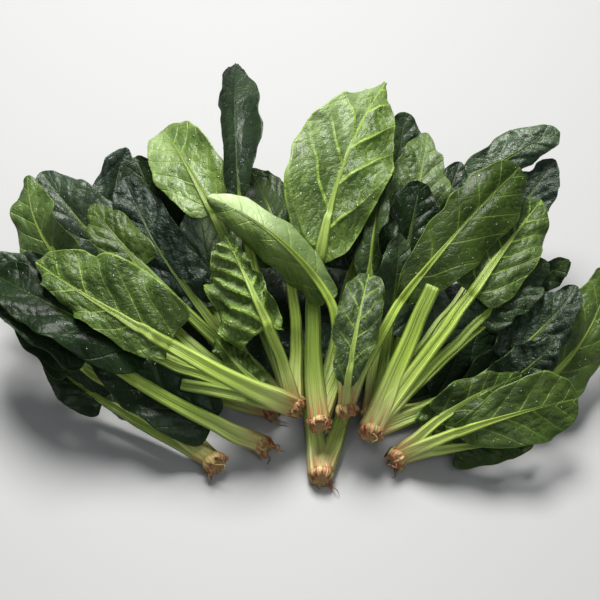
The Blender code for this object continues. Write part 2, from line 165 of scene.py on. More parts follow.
LEAF_DARK = srgb(26, 44, 20)
LEAF_DEEP = srgb(15, 28, 12)
LEAF_BRIGHT = srgb(122, 150, 56)
LEAF_MID = srgb(78, 108, 30)
LEAF_BLOOM_AND_SHEEN = srgb(92, 110, 102)
LEAF_UNDER = srgb(90, 112, 58)
LEAF_ROUGH = (0.26, 0.42)
# The colour of the painted sheen on the lit ends of some blades.
LEAF_PAINTED_SHEEN = srgb(176, 196, 146)
LEAF_WET = (0.07, 0.2)  # weight and roughness of the film of water
LEAF_BUMP = 0.9
STALK_WET = (0.12, 0.2)
STALK_BUMP = 0.8
STALK_ROUGH = (0.36, 0.75)
STALK_GLOSS = 0.45
STALK_SCATTER = (0.12, 0.002)  # weight and reach of light under the skin
TONE_CURVE = 1.7
# The veins and creases of dark leaves are painted in the first colour, as shade in their grooves. The
# second is the veins' own pale green.
VEIN_GROOVE_SHADE = srgb(24, 42, 15)
VEIN_BRIGHT = srgb(146, 178, 76)
RIB_DARK = srgb(44, 66, 26)
RIB_MID = srgb(122, 150, 62)
RIB_BRIGHT = srgb(166, 192, 90)
STALK_PALE = srgb(206, 213, 136)
STALK_GREEN = srgb(167, 196, 68)
STALK_LEAFY = srgb(128, 156, 50)
STALK_SHADED = srgb(84, 110, 30)
STALK_STREAK = srgb(200, 224, 108)
ROOT_BLUSH = srgb(184, 102, 76)
ROOT_TAN = srgb(168, 106, 64)
ROOT_DARK = srgb(92, 52, 34)
ROOT_CREAM = srgb(170, 168, 104)
CUT_PALE = srgb(170, 158, 104)
CUT_GREEN = srgb(140, 158, 80)
DROP_SPACING = 0.125  # places for a drop in a millimetre
DROP_REACH = 0.13  # of the way between two places
DROP_HEIGHT = 0.6
DROP_ROUGH = 0.12

# The table and the lights, in metres and watts.
TABLE_COLOUR = (0.385, 0.388, 0.388, 1.0)
TABLE_ROUGH = 0.5
TABLE_GLOSS = 0.2
TABLE_HALF = 3.0
FLOOR_DROP = 0.0003
WORLD_COLOUR = (0.90, 0.96, 1.0, 1.0)
WORLD_STRENGTH = 0.17
KEY_PLACE = (-0.135, 1.03, 1.55)
KEY_SIZE = 0.95
KEY_POWER = 65.0
KEY_COLOUR = (1.0, 0.985, 0.96)
FILL_PLACE = (0.25, -0.65, 0.95)
FILL_SIZE = 0.8
FILL_POWER = 3.0
FILL_COLOUR = (0.95, 0.98, 1.0)

# Blades and stalks lie on one another along this slant, as leaves heaped from the front do.
HEAP_SLANT = math.radians(46)
HEAP = np.array([0.0, -math.cos(HEAP_SLANT), math.sin(HEAP_SLANT)])
ACROSS = np.array([1.0, 0.0, 0.0])
ALONG = np.cross(HEAP, ACROSS)

BLADE_THICK = 0.8  # of the leaf between its ribs
RIB_DEPTH = (2.8, 0.5)  # of the midrib under the leaf, at the stalk and at the tip
RIB_HALF_WIDTH = 3.2  # of the blade where it leaves the stalk
TIP_HALF_WIDTH = 1.4
STALK_GAP = 0.8  # between a stalk's end and its blade
STALK_HALF = ((0.72, 0.46), (0.50, 0.40), (0.40, 0.32))  # half width and depth at root, middle and blade
LAY_GAP = 0.6  # left between things that lie on one another
FLOOR_GAP = 0.3

STALK_ROWS = 6
STALK_SIDES = 6
BLADE_ROWS = 10
BLADE_COLUMNS = 5
ROOT_SIDES = 8

# Along the root from inside the stalks to the cut end: distance and share of the root's radius.
ROOT_PROFILE = ((-9.0, 0.45), (-4.0, 0.82), (1.5, 0.90), (4.0, 0.82), (5.5, 0.60))
ROOT_REACH = 20.0  # from a root, stalks of one plant grow out of one another
LIFT_FROM, LIFT_OVER = 4.0, 14.0  # a stalk is held by its root, and free to rise after that

# Shares of a blade's length or width.
ROLL_WITHIN = 0.3  # a blade's roll comes on over its first part
EAR_PLACE = 0.13  # where the base lobes reach back most
FOLD_FADE = 0.4  # of the fold, lost by the tip
SIDE_SHIFT = 0.37  # of a wave, between the waves of the two margins
END_ROWS = 0.4  # how much closer rows stand at the ends
PHASE_STEP = 0.618  # of a wave, from one leaf to the next


@dataclass
class Plant:
    """Where the stalks meet, the way the root points (heading and dip in degrees) and the root's radius."""

    name: str
    x: float
    y: float
    z: float
    root_heading: float
    root_dip: float = 8.0
    radius: float = 9.0
    rests: bool = False  # on the surface, with a flat spot

    @property
    def place(self):
        return np.array([self.x, self.y, self.z])


@dataclass
class Leaf:
    """A stalk and its blade. Angles are in degrees and headings are from +X towards +Y, seen from above."""

    plant: str
    heading: float  # of the stalk
    stalk: float  # length
    base_z: float  # height where the blade starts
    turn: float  # of the blade's heading from the stalk's
    blade: float  # length, 0 for a cut stalk
    tip_z: float
    width: float
    roll: float = 0.0  # lifts the blade's right side towards the heap's slant
    fold: float = 14.0  # of each half up from the midrib
    curl: float = -16.0  # more fold at the margin than at the midrib
    belly: float = 0.36  # where the blade is widest, from stalk to tip
    taper: float = 1.0  # how pointed the blade is
    lean: float = 0.0  # share of the width that the left half takes from the right
    ear: float = 7.0  # how far the base lobes reach back along the stalk
    wave: float = 3.0  # height of the waves in the margin
    waves: float = 2.5
    arch: float = 0.04  # rise of the blade's middle, as a share of its length
    bow: float = 0.0  # sideways bow of the stalk, as a share of its length
    thick: float = 8.0  # width of the stalk at its middle
    rests: bool = False  # lies on the surface, which flattens it
    tone: float = 0.05  # from dark to bright green: partly the leaf's own green, partly painted shade on leaves that lie in shade
    blue: float = 0.1  # how much grey-blue colour: partly the leaf's waxy bloom, partly painted sheen of reflected sky
    pucker: float = 0.4  # how crinkled between the veins
    vein: float = 0.35  # how bold and pale the veins are
    stem: float = 0.4  # from shaded to bright stalk
    painted_sheen: float = 0.0  # how much painted sheen, paler towards the tip, mostly on the right, or on the left where negative


PLANTS = [
    Plant("front", 0, 0, 6.5, 266, 0, rests=True),
    Plant("far_left", -71, 9, 9, 300, 4, 9.0),
    Plant("left", -39, 22, 9, 318, 6, 8.0),
    Plant("under_left", -34, 53, 8, 290, 4, 7.0),
    Plant("under_right", 34, 51, 8, 256, 4, 7.0),
    Plant("right", 51, 12, 9, 218, 4, 8.5),
    Plant("middle", -1, 28, 27, 272, 12, 8.0),
    Plant("mid_left", -18, 38, 30, 320, 10, 8.0),
    Plant("mid_right", 16, 35, 33, 285, 14, 7.5),
    Plant("upper_right", 33, 20, 28, 256, 12, 8.5),
]

# From the bottom of the heap to its top.
LEAVES = [
    Leaf("under_left", 107, 22, 9, 7, 123, 6, 74, thick=7.5, rests=True),
    Leaf("front", 97, 77, 9, -2, 161, 6, 84, rests=True, thick=12),
    Leaf("front", 74, 82, 9, 6, 155, 6, 84, rests=True, thick=11),
    Leaf("under_right", 52, 26, 9, 6, 130, 6, 72, thick=7.5, rests=True),
    Leaf("under_left", 165, 41, 9, -40, 146, 6, 68, thick=7.5, rests=True),
    Leaf("under_right", 18, 46, 9, 29, 120, 6, 60, thick=7.5, rests=True),
    Leaf("far_left", 127, 59, 9, -1, 130, 7, 60, rests=True),
    Leaf("right", 35, 62, 9, 6, 108, 7, 60, rests=True),
    Leaf("under_right", 53, 165, 50, -1, 79, 84, 42, roll=20, fold=22, tone=0.1, blue=0.4, pucker=1),
    Leaf(
        "under_right", 67, 180, 66, -39, 93, 98, 34, roll=-10, fold=-8, curl=-20, belly=0.5, tone=0.38,
        blue=0.6, pucker=0.8, vein=0.15,
    ),
    Leaf("under_right", 68, 148, 65, 2, 56, 88, 34, roll=12, fold=20, tone=0.1, vein=0.1),
    Leaf(
        "under_right", 83, 173, 66, -5, 65, 104, 34, roll=-10, belly=0.5, wave=4, waves=4, tone=0.3,
        blue=0.3, pucker=0.5, vein=0.05,
    ),
    Leaf(
        "under_right", 77, 131, 65, 0, 92, 94, 46, roll=-14, fold=20, wave=4, waves=3, tone=0.5,
        blue=0.2, pucker=0.7, vein=0.5, painted_sheen=0.35,
    ),
    Leaf(
        "under_right", 75, 105, 62, 2, 68, 92, 38, fold=12, curl=-8, belly=0.5, taper=0.9, tone=0,
        blue=0, pucker=0.3, vein=0.05,
    ),
    Leaf(
        "under_left", 132, 177, 52, -48, 68, 88, 34, roll=-16, fold=26, tone=0.1, blue=0.35,
        pucker=0.6, vein=0.1,
    ),
    Leaf("under_left", 138, 160, 46, -7, 92, 78, 54, roll=-16, fold=18, arch=0.1, tone=0.15, blue=0.3),
    Leaf(
        "under_left", 147, 182, 53, -30, 76, 84, 40, roll=14, fold=16, arch=0.06, tone=0.55, blue=0.2,
        vein=0.4, stem=0.4,
    ),
    Leaf("under_left", 152, 169, 48, 12, 59, 60, 32, roll=-10, tone=0.2, blue=0.4, pucker=0.6),
    Leaf("under_left", 123, 116, 56, -4, 96, 96, 60, roll=10, fold=32, curl=16, tone=0.1, pucker=0.2),
    Leaf(
        "under_left", 120, 82, 53, -13, 66, 98, 62, roll=16, wave=4, tone=0.3, blue=0.9, pucker=1.1,
        vein=0.1, painted_sheen=1.8,
    ),
    Leaf(
        "mid_left", 117, 143, 104, -2, 97, 107, 48, fold=8, curl=-6, belly=0.5, taper=0.9, ear=5,
        wave=2, tone=0.8, blue=0.2, pucker=0.35, vein=0.6, stem=0.1, painted_sheen=-0.5,
    ),
    Leaf("mid_left", 93, 106, 64, 17, 82, 90, 48, roll=14, wave=4, tone=0.35, blue=0.2, pucker=0.6),
    Leaf("middle", 78, 116, 58, -11, 59, 93, 52, fold=20, tone=0.1),
    Leaf("middle", 70, 101, 63, 11, 125, 98, 26, roll=50, fold=24, ear=3, tone=0.25, pucker=0.3),
    Leaf(
        "middle", 90, 111, 79, -19, 162, 122, 71, roll=4, fold=12, curl=-12, belly=0.46, taper=2.3,
        ear=12, wave=3.5, arch=0.08, thick=10.5, tone=0.57, blue=0.05, pucker=0.62, lean=0.05, vein=1,
        stem=0.12, painted_sheen=-0.6,
    ),
    Leaf("far_left", 149, 90, 14, -1, 52, 28, 30, wave=3.5, stem=0.3),
    Leaf("far_left", 146, 117, 35, -13, 69, 48, 42, roll=-30, fold=24, bow=0.04, stem=0.5),
    Leaf("left", 170, 36, 24, -21, 104, 47, 42, roll=-10, wave=3.5, thick=7, stem=0.6),
    Leaf(
        "left", 160, 129, 56, -17, 102, 60, 46, roll=-38, fold=28, bow=-0.02, thick=9, tone=0.02,
        stem=0.5,
    ),
    Leaf(
        "mid_left", 108, 143, 111, -15, 147, 122, 38, roll=-18, fold=44, curl=8, belly=0.45, taper=1.9,
        tone=0.12, blue=0.15, pucker=0.35, wave=0.3, lean=-0.12, vein=0.05, stem=0.3,
    ),
    Leaf(
        "mid_left", 134, 99, 57, -12, 112, 95, 40, roll=6, curl=-14, belly=0.45, wave=4, tone=0.08,
        blue=0.35, pucker=1.2, vein=0.12, stem=0.35,
    ),
    Leaf(
        "mid_left", 141, 141, 76, -13, 66, 89, 34, roll=-4, ear=5, wave=2, tone=0.45, blue=0.05,
        pucker=0.5, vein=0.35, stem=0.05,
    ),
    Leaf("mid_left", 176, 76, 47, -176, 0, 47, 0, thick=9, tone=0.5, blue=0, pucker=0, stem=0.3),
    Leaf(
        "mid_left", 167, 102, 58, -18, 140, 66, 48, roll=-26, fold=22, wave=3.5, waves=3, tone=0.02,
        blue=0, pucker=0.3, vein=0.3, stem=0.45,
    ),
    Leaf(
        "mid_left", 173, 28, 48, -42, 48, 56, 20, roll=10, ear=3, wave=4.5, waves=4.5, thick=5,
        tone=0.55, blue=0, pucker=1.1, vein=0.5, fold=0, stem=0.3,
    ),
    Leaf(
        "mid_left", 116, 55, 70, 3, 70, 104, 42, roll=12, fold=-6, curl=-8, ear=12, wave=5.5,
        waves=3.5, tone=0.66, pucker=1.3, vein=0.95, lean=0.5, stem=0.85, painted_sheen=-0.2,
    ),
    Leaf(
        "mid_left", 166, 92, 69, -20, 115, 82, 50, roll=-4, fold=16, curl=-22, ear=12, wave=4, waves=3,
        thick=11, tone=0.55, blue=0.15, pucker=0.75, lean=-0.36, vein=0.75, stem=1,
    ),
    Leaf("upper_right", 44, 159, 47, -25, 36, 66, 22, roll=10, thick=6, tone=0.2, stem=0.5),
    Leaf("right", 25, 109, 26, 32, 112, 58, 46, roll=-14, taper=1.1, tone=0.5, vein=0.5, stem=0.6),
    Leaf(
        "upper_right", 28, 104, 38, 14, 75, 66, 40, roll=20, fold=24, wave=4, thick=9, tone=0.1,
        blue=0.3, pucker=1.1,
    ),
    Leaf("right", 29, 82, 30, 1, 53, 61, 34, roll=10, wave=4, tone=0.1, blue=0.3, pucker=1.1),
    Leaf(
        "upper_right", 43, 107, 59, 2, 73, 64, 34, roll=16, wave=4, thick=7.5, tone=0.2, blue=0.2,
        pucker=1, stem=0.5,
    ),
    Leaf(
        "upper_right", 79, 70, 48, 2, 70, 92, 34, roll=-8, fold=20, tone=0.25, blue=0.3, pucker=0.5,
        stem=0.05,
    ),
    Leaf(
        "upper_right", 50, 115, 72, 3, 94, 92, 50, roll=8, fold=12, thick=10, tone=0.4, pucker=0.6,
        vein=0.7, stem=0.9,
    ),
    Leaf(
        "mid_right", 60, 84, 70, -14, 130, 112, 46, roll=-6, fold=12, curl=-8, belly=0.6, taper=1.1,
        ear=8, wave=2, tone=0.32, blue=0, pucker=0.15, vein=0.5, lean=-0.12, stem=1,
    ),
    Leaf("upper_right", 62, 104, 82, -62, 0, 82, 0, thick=12, tone=0.5, blue=0, pucker=0, stem=0.75),
    Leaf(
        "mid_right", 100, 73, 78, 43, 109, 114, 36, roll=4, fold=-44, curl=-8, belly=0.45, bow=-0.07,
        thick=7.5, tone=0.72, pucker=0.25, lean=0.2, vein=0.5, stem=0.7, painted_sheen=1.6,
    ),
    Leaf(
        "mid_right", 80, 18, 55, -2, 81, 84, 30, roll=4, fold=16, belly=0.6, ear=3, waves=3, thick=6,
        tone=0.3, blue=0.2, pucker=0.8, vein=0.7, stem=0.7,
    ),
    Leaf("right", 5, 38, 15, 0, 54, 16, 28, roll=-6, ear=8, tone=0.25, blue=0, stem=0.7),
    Leaf(
        "right", 29, 27, 24, 12, 40, 34, 26, roll=6, wave=4, waves=3.5, thick=5.5, tone=0.4, blue=0,
        pucker=1, stem=0.7, vein=0.5,
    ),
    Leaf("right", 25, 39, 34, 0, 62, 48, 28, roll=8, tone=0.3, blue=0, stem=0.8, vein=0.5),
    Leaf(
        "right", 4, 43, 32, 11, 85, 40, 44, roll=4, fold=8, curl=-12, belly=0.64, taper=1.2, ear=3,
        wave=1.5, tone=0.44, blue=0.05, pucker=0.45, vein=0.5, stem=0.9,
    ),
]

ROOTLETS = {
    "front": 2, "far_left": 4, "left": 5, "under_left": 2, "under_right": 2,
    "right": 2, "mid_left": 0, "middle": 1, "mid_right": 1, "upper_right": 1,
}


def unit(vector):
    return vector / np.linalg.norm(vector, axis=-1, keepdims=True)


def smooth(x):
    x = np.clip(x, 0.0, 1.0)
    return x * x * (3.0 - 2.0 * x)


def stacked(*parts):
    """The parts, spread to one shape, as the coordinates of points."""
    return np.stack(np.broadcast_arrays(*parts), axis=-1)


def floored(points):
    """The points, with those under the surface put onto it."""
    points[..., 2] = np.maximum(points[..., 2], 0.0)
    return points


def ringed(line, across, front, x, y):
    """Points x across and y to the front of each point of a line."""
    return line[:, None] + across[:, None] * x[..., None] + front[:, None] * y[..., None]


def polar(heading, length, rise):
    """A step of that length and rise, on that heading in degrees."""
    level = math.sqrt(max(length * length - rise * rise, 0.0))
    angle = math.radians(heading)
    return np.array([level * math.cos(angle), level * math.sin(angle), rise])


def ends_of(leaf, root):
    """The points where the stalk leaves the root, where the blade starts, and the tip."""
    base = root + polar(leaf.heading, leaf.stalk, leaf.base_z - root[2])
    tip = base + polar(leaf.heading + leaf.turn, leaf.blade, leaf.tip_z - leaf.base_z)
    return base, tip


def hermite(t, start, end, leaving, arriving):
    """Points of the cubic from start to end with those tangents, and its direction."""
    t = t[:, None]
    points = (
        (2 * t**3 - 3 * t**2 + 1) * start
        + (t**3 - 2 * t**2 + t) * leaving
        + (3 * t**2 - 2 * t**3) * end
        + (t**3 - t**2) * arriving
    )
    slope = (
        (6 * t**2 - 6 * t) * (start - end)
        + (3 * t**2 - 4 * t + 1) * leaving
        + (3 * t**2 - 2 * t) * arriving
    )
    return points, unit(slope)


def ways_of(leaf, root):
    """Both ends, and the directions of the stalk, of the blade and of the leaf where they meet."""
    base, tip = ends_of(leaf, root)
    out = unit(base - root)
    on = unit(tip - base) if leaf.blade else out
    return base, tip, out, on, unit(out + on)


def stalk_line(leaf, root, share):
    """Points and directions along the stalk."""
    base, _, out, _, through = ways_of(leaf, root)
    points, way = hermite(share, root, base, unit(2 * out - through) * leaf.stalk, through * leaf.stalk)
    bow = leaf.bow * leaf.stalk * np.sin(math.pi * share) ** 2
    return points + unit(np.cross(out, HEAP)) * bow[:, None], way


def blade_line(leaf, root, share):
    """Points and directions along the blade's midrib, which carries on from the stalk."""
    base, tip, _, on, through = ways_of(leaf, root)
    return hermite(share, base, tip, through * leaf.blade, unit(2 * on - through) * leaf.blade)


def faces_of(way):
    """For each direction, the sideways vector and the one nearest the heap's slant, all at right angles."""
    front = unit(HEAP - (way @ HEAP)[:, None] * way)
    return np.cross(way, front), front


def half_width(leaf, share):
    """Of the blade, rising from the stalk, widest at the belly and round at the tip."""
    rise = np.clip(share / leaf.belly, 0, None) ** (leaf.taper * leaf.belly)
    fall = np.clip((1 - share) / (1 - leaf.belly), 0, None) ** (leaf.taper * (1 - leaf.belly))
    least = RIB_HALF_WIDTH + (TIP_HALF_WIDTH - RIB_HALF_WIDTH) * share
    return np.sqrt((leaf.width / 2 * rise * fall) ** 2 + least**2)


def blade_surface(leaf, root, phase, share, side):
    """The blade's upper face and its normals, on a grid of shares along it by sides from -1 to 1."""
    line, way = blade_line(leaf, root, share)
    across, front = faces_of(way)
    twist = np.radians(leaf.roll) * smooth(share / ROLL_WITHIN)
    turn, lift = np.cos(twist)[:, None], np.sin(twist)[:, None]
    across, front = across * turn + front * lift, front * turn - across * lift
    out = np.abs(side)[None, :]
    hand = np.sign(side)[None, :]
    slope = np.radians(leaf.fold * (1 - FOLD_FADE * share)[:, None] + leaf.curl * out / 2)
    reach = half_width(leaf, share)[:, None] * out * (1 - leaf.lean * hand)
    ripple = np.sin(2 * math.pi * (leaf.waves * share[:, None] + phase + SIDE_SHIFT * hand))
    ruffle = leaf.wave * ripple * out**2 * np.sqrt(np.sin(math.pi * share))[:, None]
    near_base = (share / EAR_PLACE * np.exp(1 - share / EAR_PLACE))[:, None]
    back = leaf.ear * out**1.5 * near_base
    bulge = (leaf.arch * leaf.blade * np.sin(math.pi * share))[:, None]
    sideways, high = hand * reach * np.cos(slope), reach * np.sin(slope) + ruffle + bulge
    points = ringed(line, across, front, sideways, high) - way[:, None] * back[..., None]
    normals = unit(np.cross(np.gradient(points, axis=1), np.gradient(points, axis=0)))
    normals[0] = front[0]
    return points, normals


def spread(even):
    """Shares of the blade's length for even steps, closer together at its ends."""
    return (1 - END_ROWS) * even + END_ROWS / 2 * (1 - np.cos(math.pi * even))


def rib_depth(share):
    """Of the midrib under the blade, along it."""
    return RIB_DEPTH[0] + (RIB_DEPTH[1] - RIB_DEPTH[0]) * share**0.7


def blade_depth(share, side):
    """Thickness of the blade: thin, with a rib along the middle of its underside."""
    return BLADE_THICK + rib_depth(share)[:, None] * (side == 0)[None, :]


def flatten(upper, lower, thick):
    """Presses a blade flat against the surface."""
    upper[..., 2] = np.maximum(upper[..., 2], floored(lower)[..., 2] + thick)


def stalk_halves(leaf, share):
    """Half the stalk's width and half its depth, along it."""
    return [leaf.thick * np.interp(share, (0.0, 0.5, 1.0), halves) for halves in zip(*STALK_HALF)]


def stalk_surface(leaf, root, share):
    """Rings of points round the stalk, which is widest at the root."""
    line, way = stalk_line(leaf, root, share)
    if leaf.blade:
        line = np.vstack([line[:-1], line[-1] - way[-1] * STALK_GAP])
    across, front = faces_of(way)
    wide, deep = stalk_halves(leaf, share)
    angle = 2 * math.pi * np.arange(STALK_SIDES) / STALK_SIDES
    return ringed(line, across, front, wide[:, None] * np.cos(angle), deep[:, None] * np.sin(angle))


def root_axes(plant):
    """The way the root points, and the sideways and the upward vector at right angles to it."""
    angle = math.radians(plant.root_heading)
    dip = math.radians(plant.root_dip)
    way = np.array([math.cos(dip) * math.cos(angle), math.cos(dip) * math.sin(angle), -math.sin(dip)])
    across = unit(np.cross(way, [0.0, 0.0, 1.0]))
    return way, across, np.cross(across, way)


def root_surface(plant, place):
    """Rings of points round the root, flat where it meets the surface under it."""
    way, across, up = root_axes(plant)
    turns = 2 * math.pi * (np.arange(ROOT_SIDES) + 0.5) / ROOT_SIDES
    rings = np.array(
        [
            place
            + way * far
            + plant.radius * share * (np.cos(turns)[:, None] * across + np.sin(turns)[:, None] * up)
            for far, share in ROOT_PROFILE
        ]
    )
    return floored(rings)


class Heap:
    """How high the heap stands along its slant, on a grid seen along that slant."""

    CELL = 1.5
    LOW = np.array([-300.0, -120.0])
    CELLS = (400, 340)

    def __init__(self, each_way):
        self.tops = {}  # of the blades, and of each plant's root and stalks
        step = (np.arange(each_way) + 0.5) / each_way  # samples along each side of a face
        a, b = (grid.ravel() for grid in np.meshgrid(step, step))
        self.weights = np.array([(1 - a) * (1 - b), a * (1 - b), (1 - a) * b, a * b])

    def samples(self, grid):
        """Points spread over each face of a grid of points."""
        corners = np.array([grid[:-1, :-1], grid[1:, :-1], grid[:-1, 1:], grid[1:, 1:]])
        return np.einsum("krcx,ks->rcsx", corners, self.weights)

    def cells(self, points):
        flat = np.stack([points @ ACROSS, points @ ALONG], axis=-1)
        index = ((flat - self.LOW) / self.CELL).astype(int)
        return tuple(np.clip(index[..., k], 1, self.CELLS[k] - 2) for k in (0, 1))

    def add(self, grid, owner="blades"):
        points = self.samples(grid)
        top = self.tops.setdefault(owner, np.full(self.CELLS, -np.inf))
        np.maximum.at(top, self.cells(points), points @ HEAP)

    def needed(self, grid, rests=False, owner=None):
        """For each face, how far along the slant it has to move to lie on the heap and above the surface.

        Stalks of one plant grow together, so an owner's own stalks don't count.
        """
        points = self.samples(grid)
        x, y = self.cells(points)
        others = [top for name, top in self.tops.items() if name != owner]
        top = np.max([*others, np.full(self.CELLS, -1e3)], axis=0)
        around = [top[x + i, y + j] for i in (-1, 0, 1) for j in (-1, 0, 1)]
        heaped = np.max(around, axis=0) + LAY_GAP - points @ HEAP
        grounded = (0.0 if rests else FLOOR_GAP) - points[..., 2] / HEAP[2]
        return np.maximum(heaped, grounded).max(axis=2)

    def needed_by(self, leaf, upper, lower):
        """The same for both faces of a blade."""
        return np.maximum(self.needed(upper, leaf.rests), self.needed(lower, leaf.rests))


def at_corners(faces):
    """The most that any face round each corner needs."""
    padded = np.pad(faces, 1, constant_values=0.0)
    return np.max([padded[:-1, :-1], padded[1:, :-1], padded[:-1, 1:], padded[1:, 1:]], axis=0)


def eased(need, rows=1, columns=1):
    """A smooth lift that is nowhere less than the need."""

    def windows(values):
        padded = np.pad(values, ((rows, rows), (columns, columns)), mode="edge")
        return np.lib.stride_tricks.sliding_window_view(padded, (2 * rows + 1, 2 * columns + 1))

    return windows(windows(need).max(axis=(2, 3))).mean(axis=(2, 3))


def closed_ring(rings):
    return np.concatenate([rings, rings[:, :1]], axis=1)


def lay_root(plant, leaves, heap):
    """Where the root comes to lie, clear of the heap with the start of each of its stalks."""
    place = plant.place
    need = heap.needed(closed_ring(root_surface(plant, place))).max()
    for leaf in leaves:
        start = np.array([3.0, ROOT_REACH]) / leaf.stalk
        need = max(need, heap.needed(closed_ring(stalk_surface(leaf, place, start))).max())
    if not plant.rests:
        place = place + max(need, 0.0) * HEAP
    heap.add(closed_ring(root_surface(plant, place)), plant.name)
    return place


def lay(leaf, root, phase, heap):
    """How far each row and column of the leaf is lifted to lie on the heap."""
    along = np.linspace(0, 1, STALK_ROWS + 1)
    rings = stalk_surface(leaf, root, along)
    share = spread(np.linspace(0, 1, BLADE_ROWS + 1))
    side = np.linspace(-1, 1, BLADE_COLUMNS)
    if leaf.blade:
        upper, normals = blade_surface(leaf, root, phase, share, side)
        lower = upper - normals * blade_depth(share, side)[..., None]
        if leaf.rests:
            flatten(upper, lower, BLADE_THICK)
    if leaf.rests:
        rings = floored(rings)
    faces_need = heap.needed(closed_ring(rings), leaf.rests, leaf.plant)
    faces_need[along[1:] * leaf.stalk < ROOT_REACH] = 0.0
    stalk_need = at_corners(faces_need).max(axis=1)
    need = np.repeat(stalk_need[:, None], BLADE_COLUMNS, axis=1)
    if leaf.blade:
        blade_need = at_corners(heap.needed_by(leaf, upper, lower))
        need = np.vstack([need[:-1], np.maximum(need[-1:], blade_need[:1]), blade_need[1:]])
    lift = eased(np.maximum(need, 0.0))
    free = smooth((along * leaf.stalk - LIFT_FROM) / LIFT_OVER)
    lift[: STALK_ROWS + 1] = lift[: STALK_ROWS + 1].max(axis=1, keepdims=True) * free[:, None]
    rings = rings + lift[: STALK_ROWS + 1, :1, None] * HEAP
    if leaf.blade:
        upper = upper + lift[STALK_ROWS:, :, None] * HEAP
        lower = lower + lift[STALK_ROWS:, :, None] * HEAP
    heap.add(closed_ring(rings), leaf.plant)
    if leaf.blade:
        heap.add(upper)
        heap.add(lower)
    return lift


def lift_at(lift, row, side):
    """The coarse lift, read smoothly at rows counted from the root and sides from -1 to 1."""

    def spline(values, at):
        last = len(values) - 1
        whole = np.clip(np.floor(at).astype(int), 0, last - 1)
        t = (at - whole)[:, None]
        p0, p1, p2, p3 = (values[np.clip(whole + k, 0, last)] for k in (-1, 0, 1, 2))
        bend = 2 * p0 - 5 * p1 + 4 * p2 - p3
        return p1 + 0.5 * t * (p2 - p0 + t * (bend + t * (3 * (p1 - p2) + p3 - p0)))

    along = spline(lift, row)
    return spline(along.T, (side + 1) / 2 * (BLADE_COLUMNS - 1)).T


class Noise:
    """Smooth random values from -1 to 1 over a plane, and the edges between random cells."""

    SIZE = 64

    def __init__(self, seed):
        random = np.random.default_rng(seed)
        self.table = random.random((self.SIZE, self.SIZE)) * 2 - 1
        self.shift = random.random((self.SIZE, self.SIZE, 2))

    def smooth(self, x, y):
        i, j = np.floor(x).astype(int), np.floor(y).astype(int)
        a, b = smooth(x - i), smooth(y - j)
        low, high = i % self.SIZE, (i + 1) % self.SIZE
        near, far = j % self.SIZE, (j + 1) % self.SIZE
        first = self.table[low, near] * (1 - a) + self.table[high, near] * a
        second = self.table[low, far] * (1 - a) + self.table[high, far] * a
        return first * (1 - b) + second * b

    def from_edge(self, x, y):
        """0 on the edge between two cells of about 1 across, and nearly 1 in their middles."""
        i, j = np.floor(x).astype(int), np.floor(y).astype(int)
        nearest, second = np.full(x.shape, 9.0), np.full(x.shape, 9.0)
        for di in (-1, 0, 1):
            for dj in (-1, 0, 1):
                middle = self.shift[(i + di) % self.SIZE, (j + dj) % self.SIZE]
                far = np.hypot(i + di + middle[..., 0] - x, j + dj + middle[..., 1] - y)
                second = np.minimum(second, np.maximum(nearest, far))
                nearest = np.minimum(nearest, far)
        return second - nearest


NOISE = Noise(11)


def vein_count(leaf, s, u, number):
    """A count of the side veins, whole on each, and their spacing. They slant, and bend to the tip."""
    out = np.abs(u)
    spacing = max(leaf.blade / SIDE_VEINS, LEAST_VEIN_GAP)
    stagger = VEIN_STAGGER * np.sign(u) * smooth(out / STAGGER_WITHIN)
    wander = VEIN_WANDER * NOISE.smooth(s / WANDER_SIZE + 7 * number, u / WANDER_SIZE)
    return (s - VEIN_LEAN * out - VEIN_BEND * out**2 + wander) / spacing + stagger, spacing


def relief(leaf, s, u, share, out, count, number):
    """Height of the leaf between its veins: pads, with small puckers on them, and slow swells."""
    between = 2 * np.abs(count - np.round(count))
    bent = CELL_BEND * NOISE.smooth(s / BEND_SIZE + number, u / BEND_SIZE)
    cell = NOISE.from_edge(s / PUCKER_SIZE + 5 * number + bent, u / PUCKER_SIZE + bent)
    pads = (np.sqrt(between) - MIDDLE_LEVEL) * (1 - PADS_TURNED * smooth((leaf.vein - BOLD_VEIN) / 0.1))
    domes = np.sqrt(np.clip(1.3 * cell, 0, 1)) - MIDDLE_LEVEL
    fade = smooth(np.abs(u) / FLAT_BY_RIB) * smooth(share / FLAT_ENDS[0])
    fade = fade * smooth((1 - share) / FLAT_ENDS[1])
    swell = NOISE.smooth(s / SWELL_SIZE + 3 * number, u / SWELL_SIZE + 9)
    frill = NOISE.smooth(s / FRILL_SIZE + number, 4 * np.sign(u) + 0.2 * out) * out**5
    high = leaf.pucker * (PAD_HEIGHT * pads + PUCKER_HEIGHT * domes) * (1 - 0.5 * out**3)
    roll = NOISE.smooth(s / ROLL_SIZE + 6 * number, 20.5 + 3 * np.sign(u)) * smooth((out - 0.5) / 0.5)
    edge = FRILL_HEIGHT * (0.25 + leaf.pucker) * frill + EDGE_ROLL * roll
    return fade * (high + SWELL_HEIGHT * swell + edge), cell


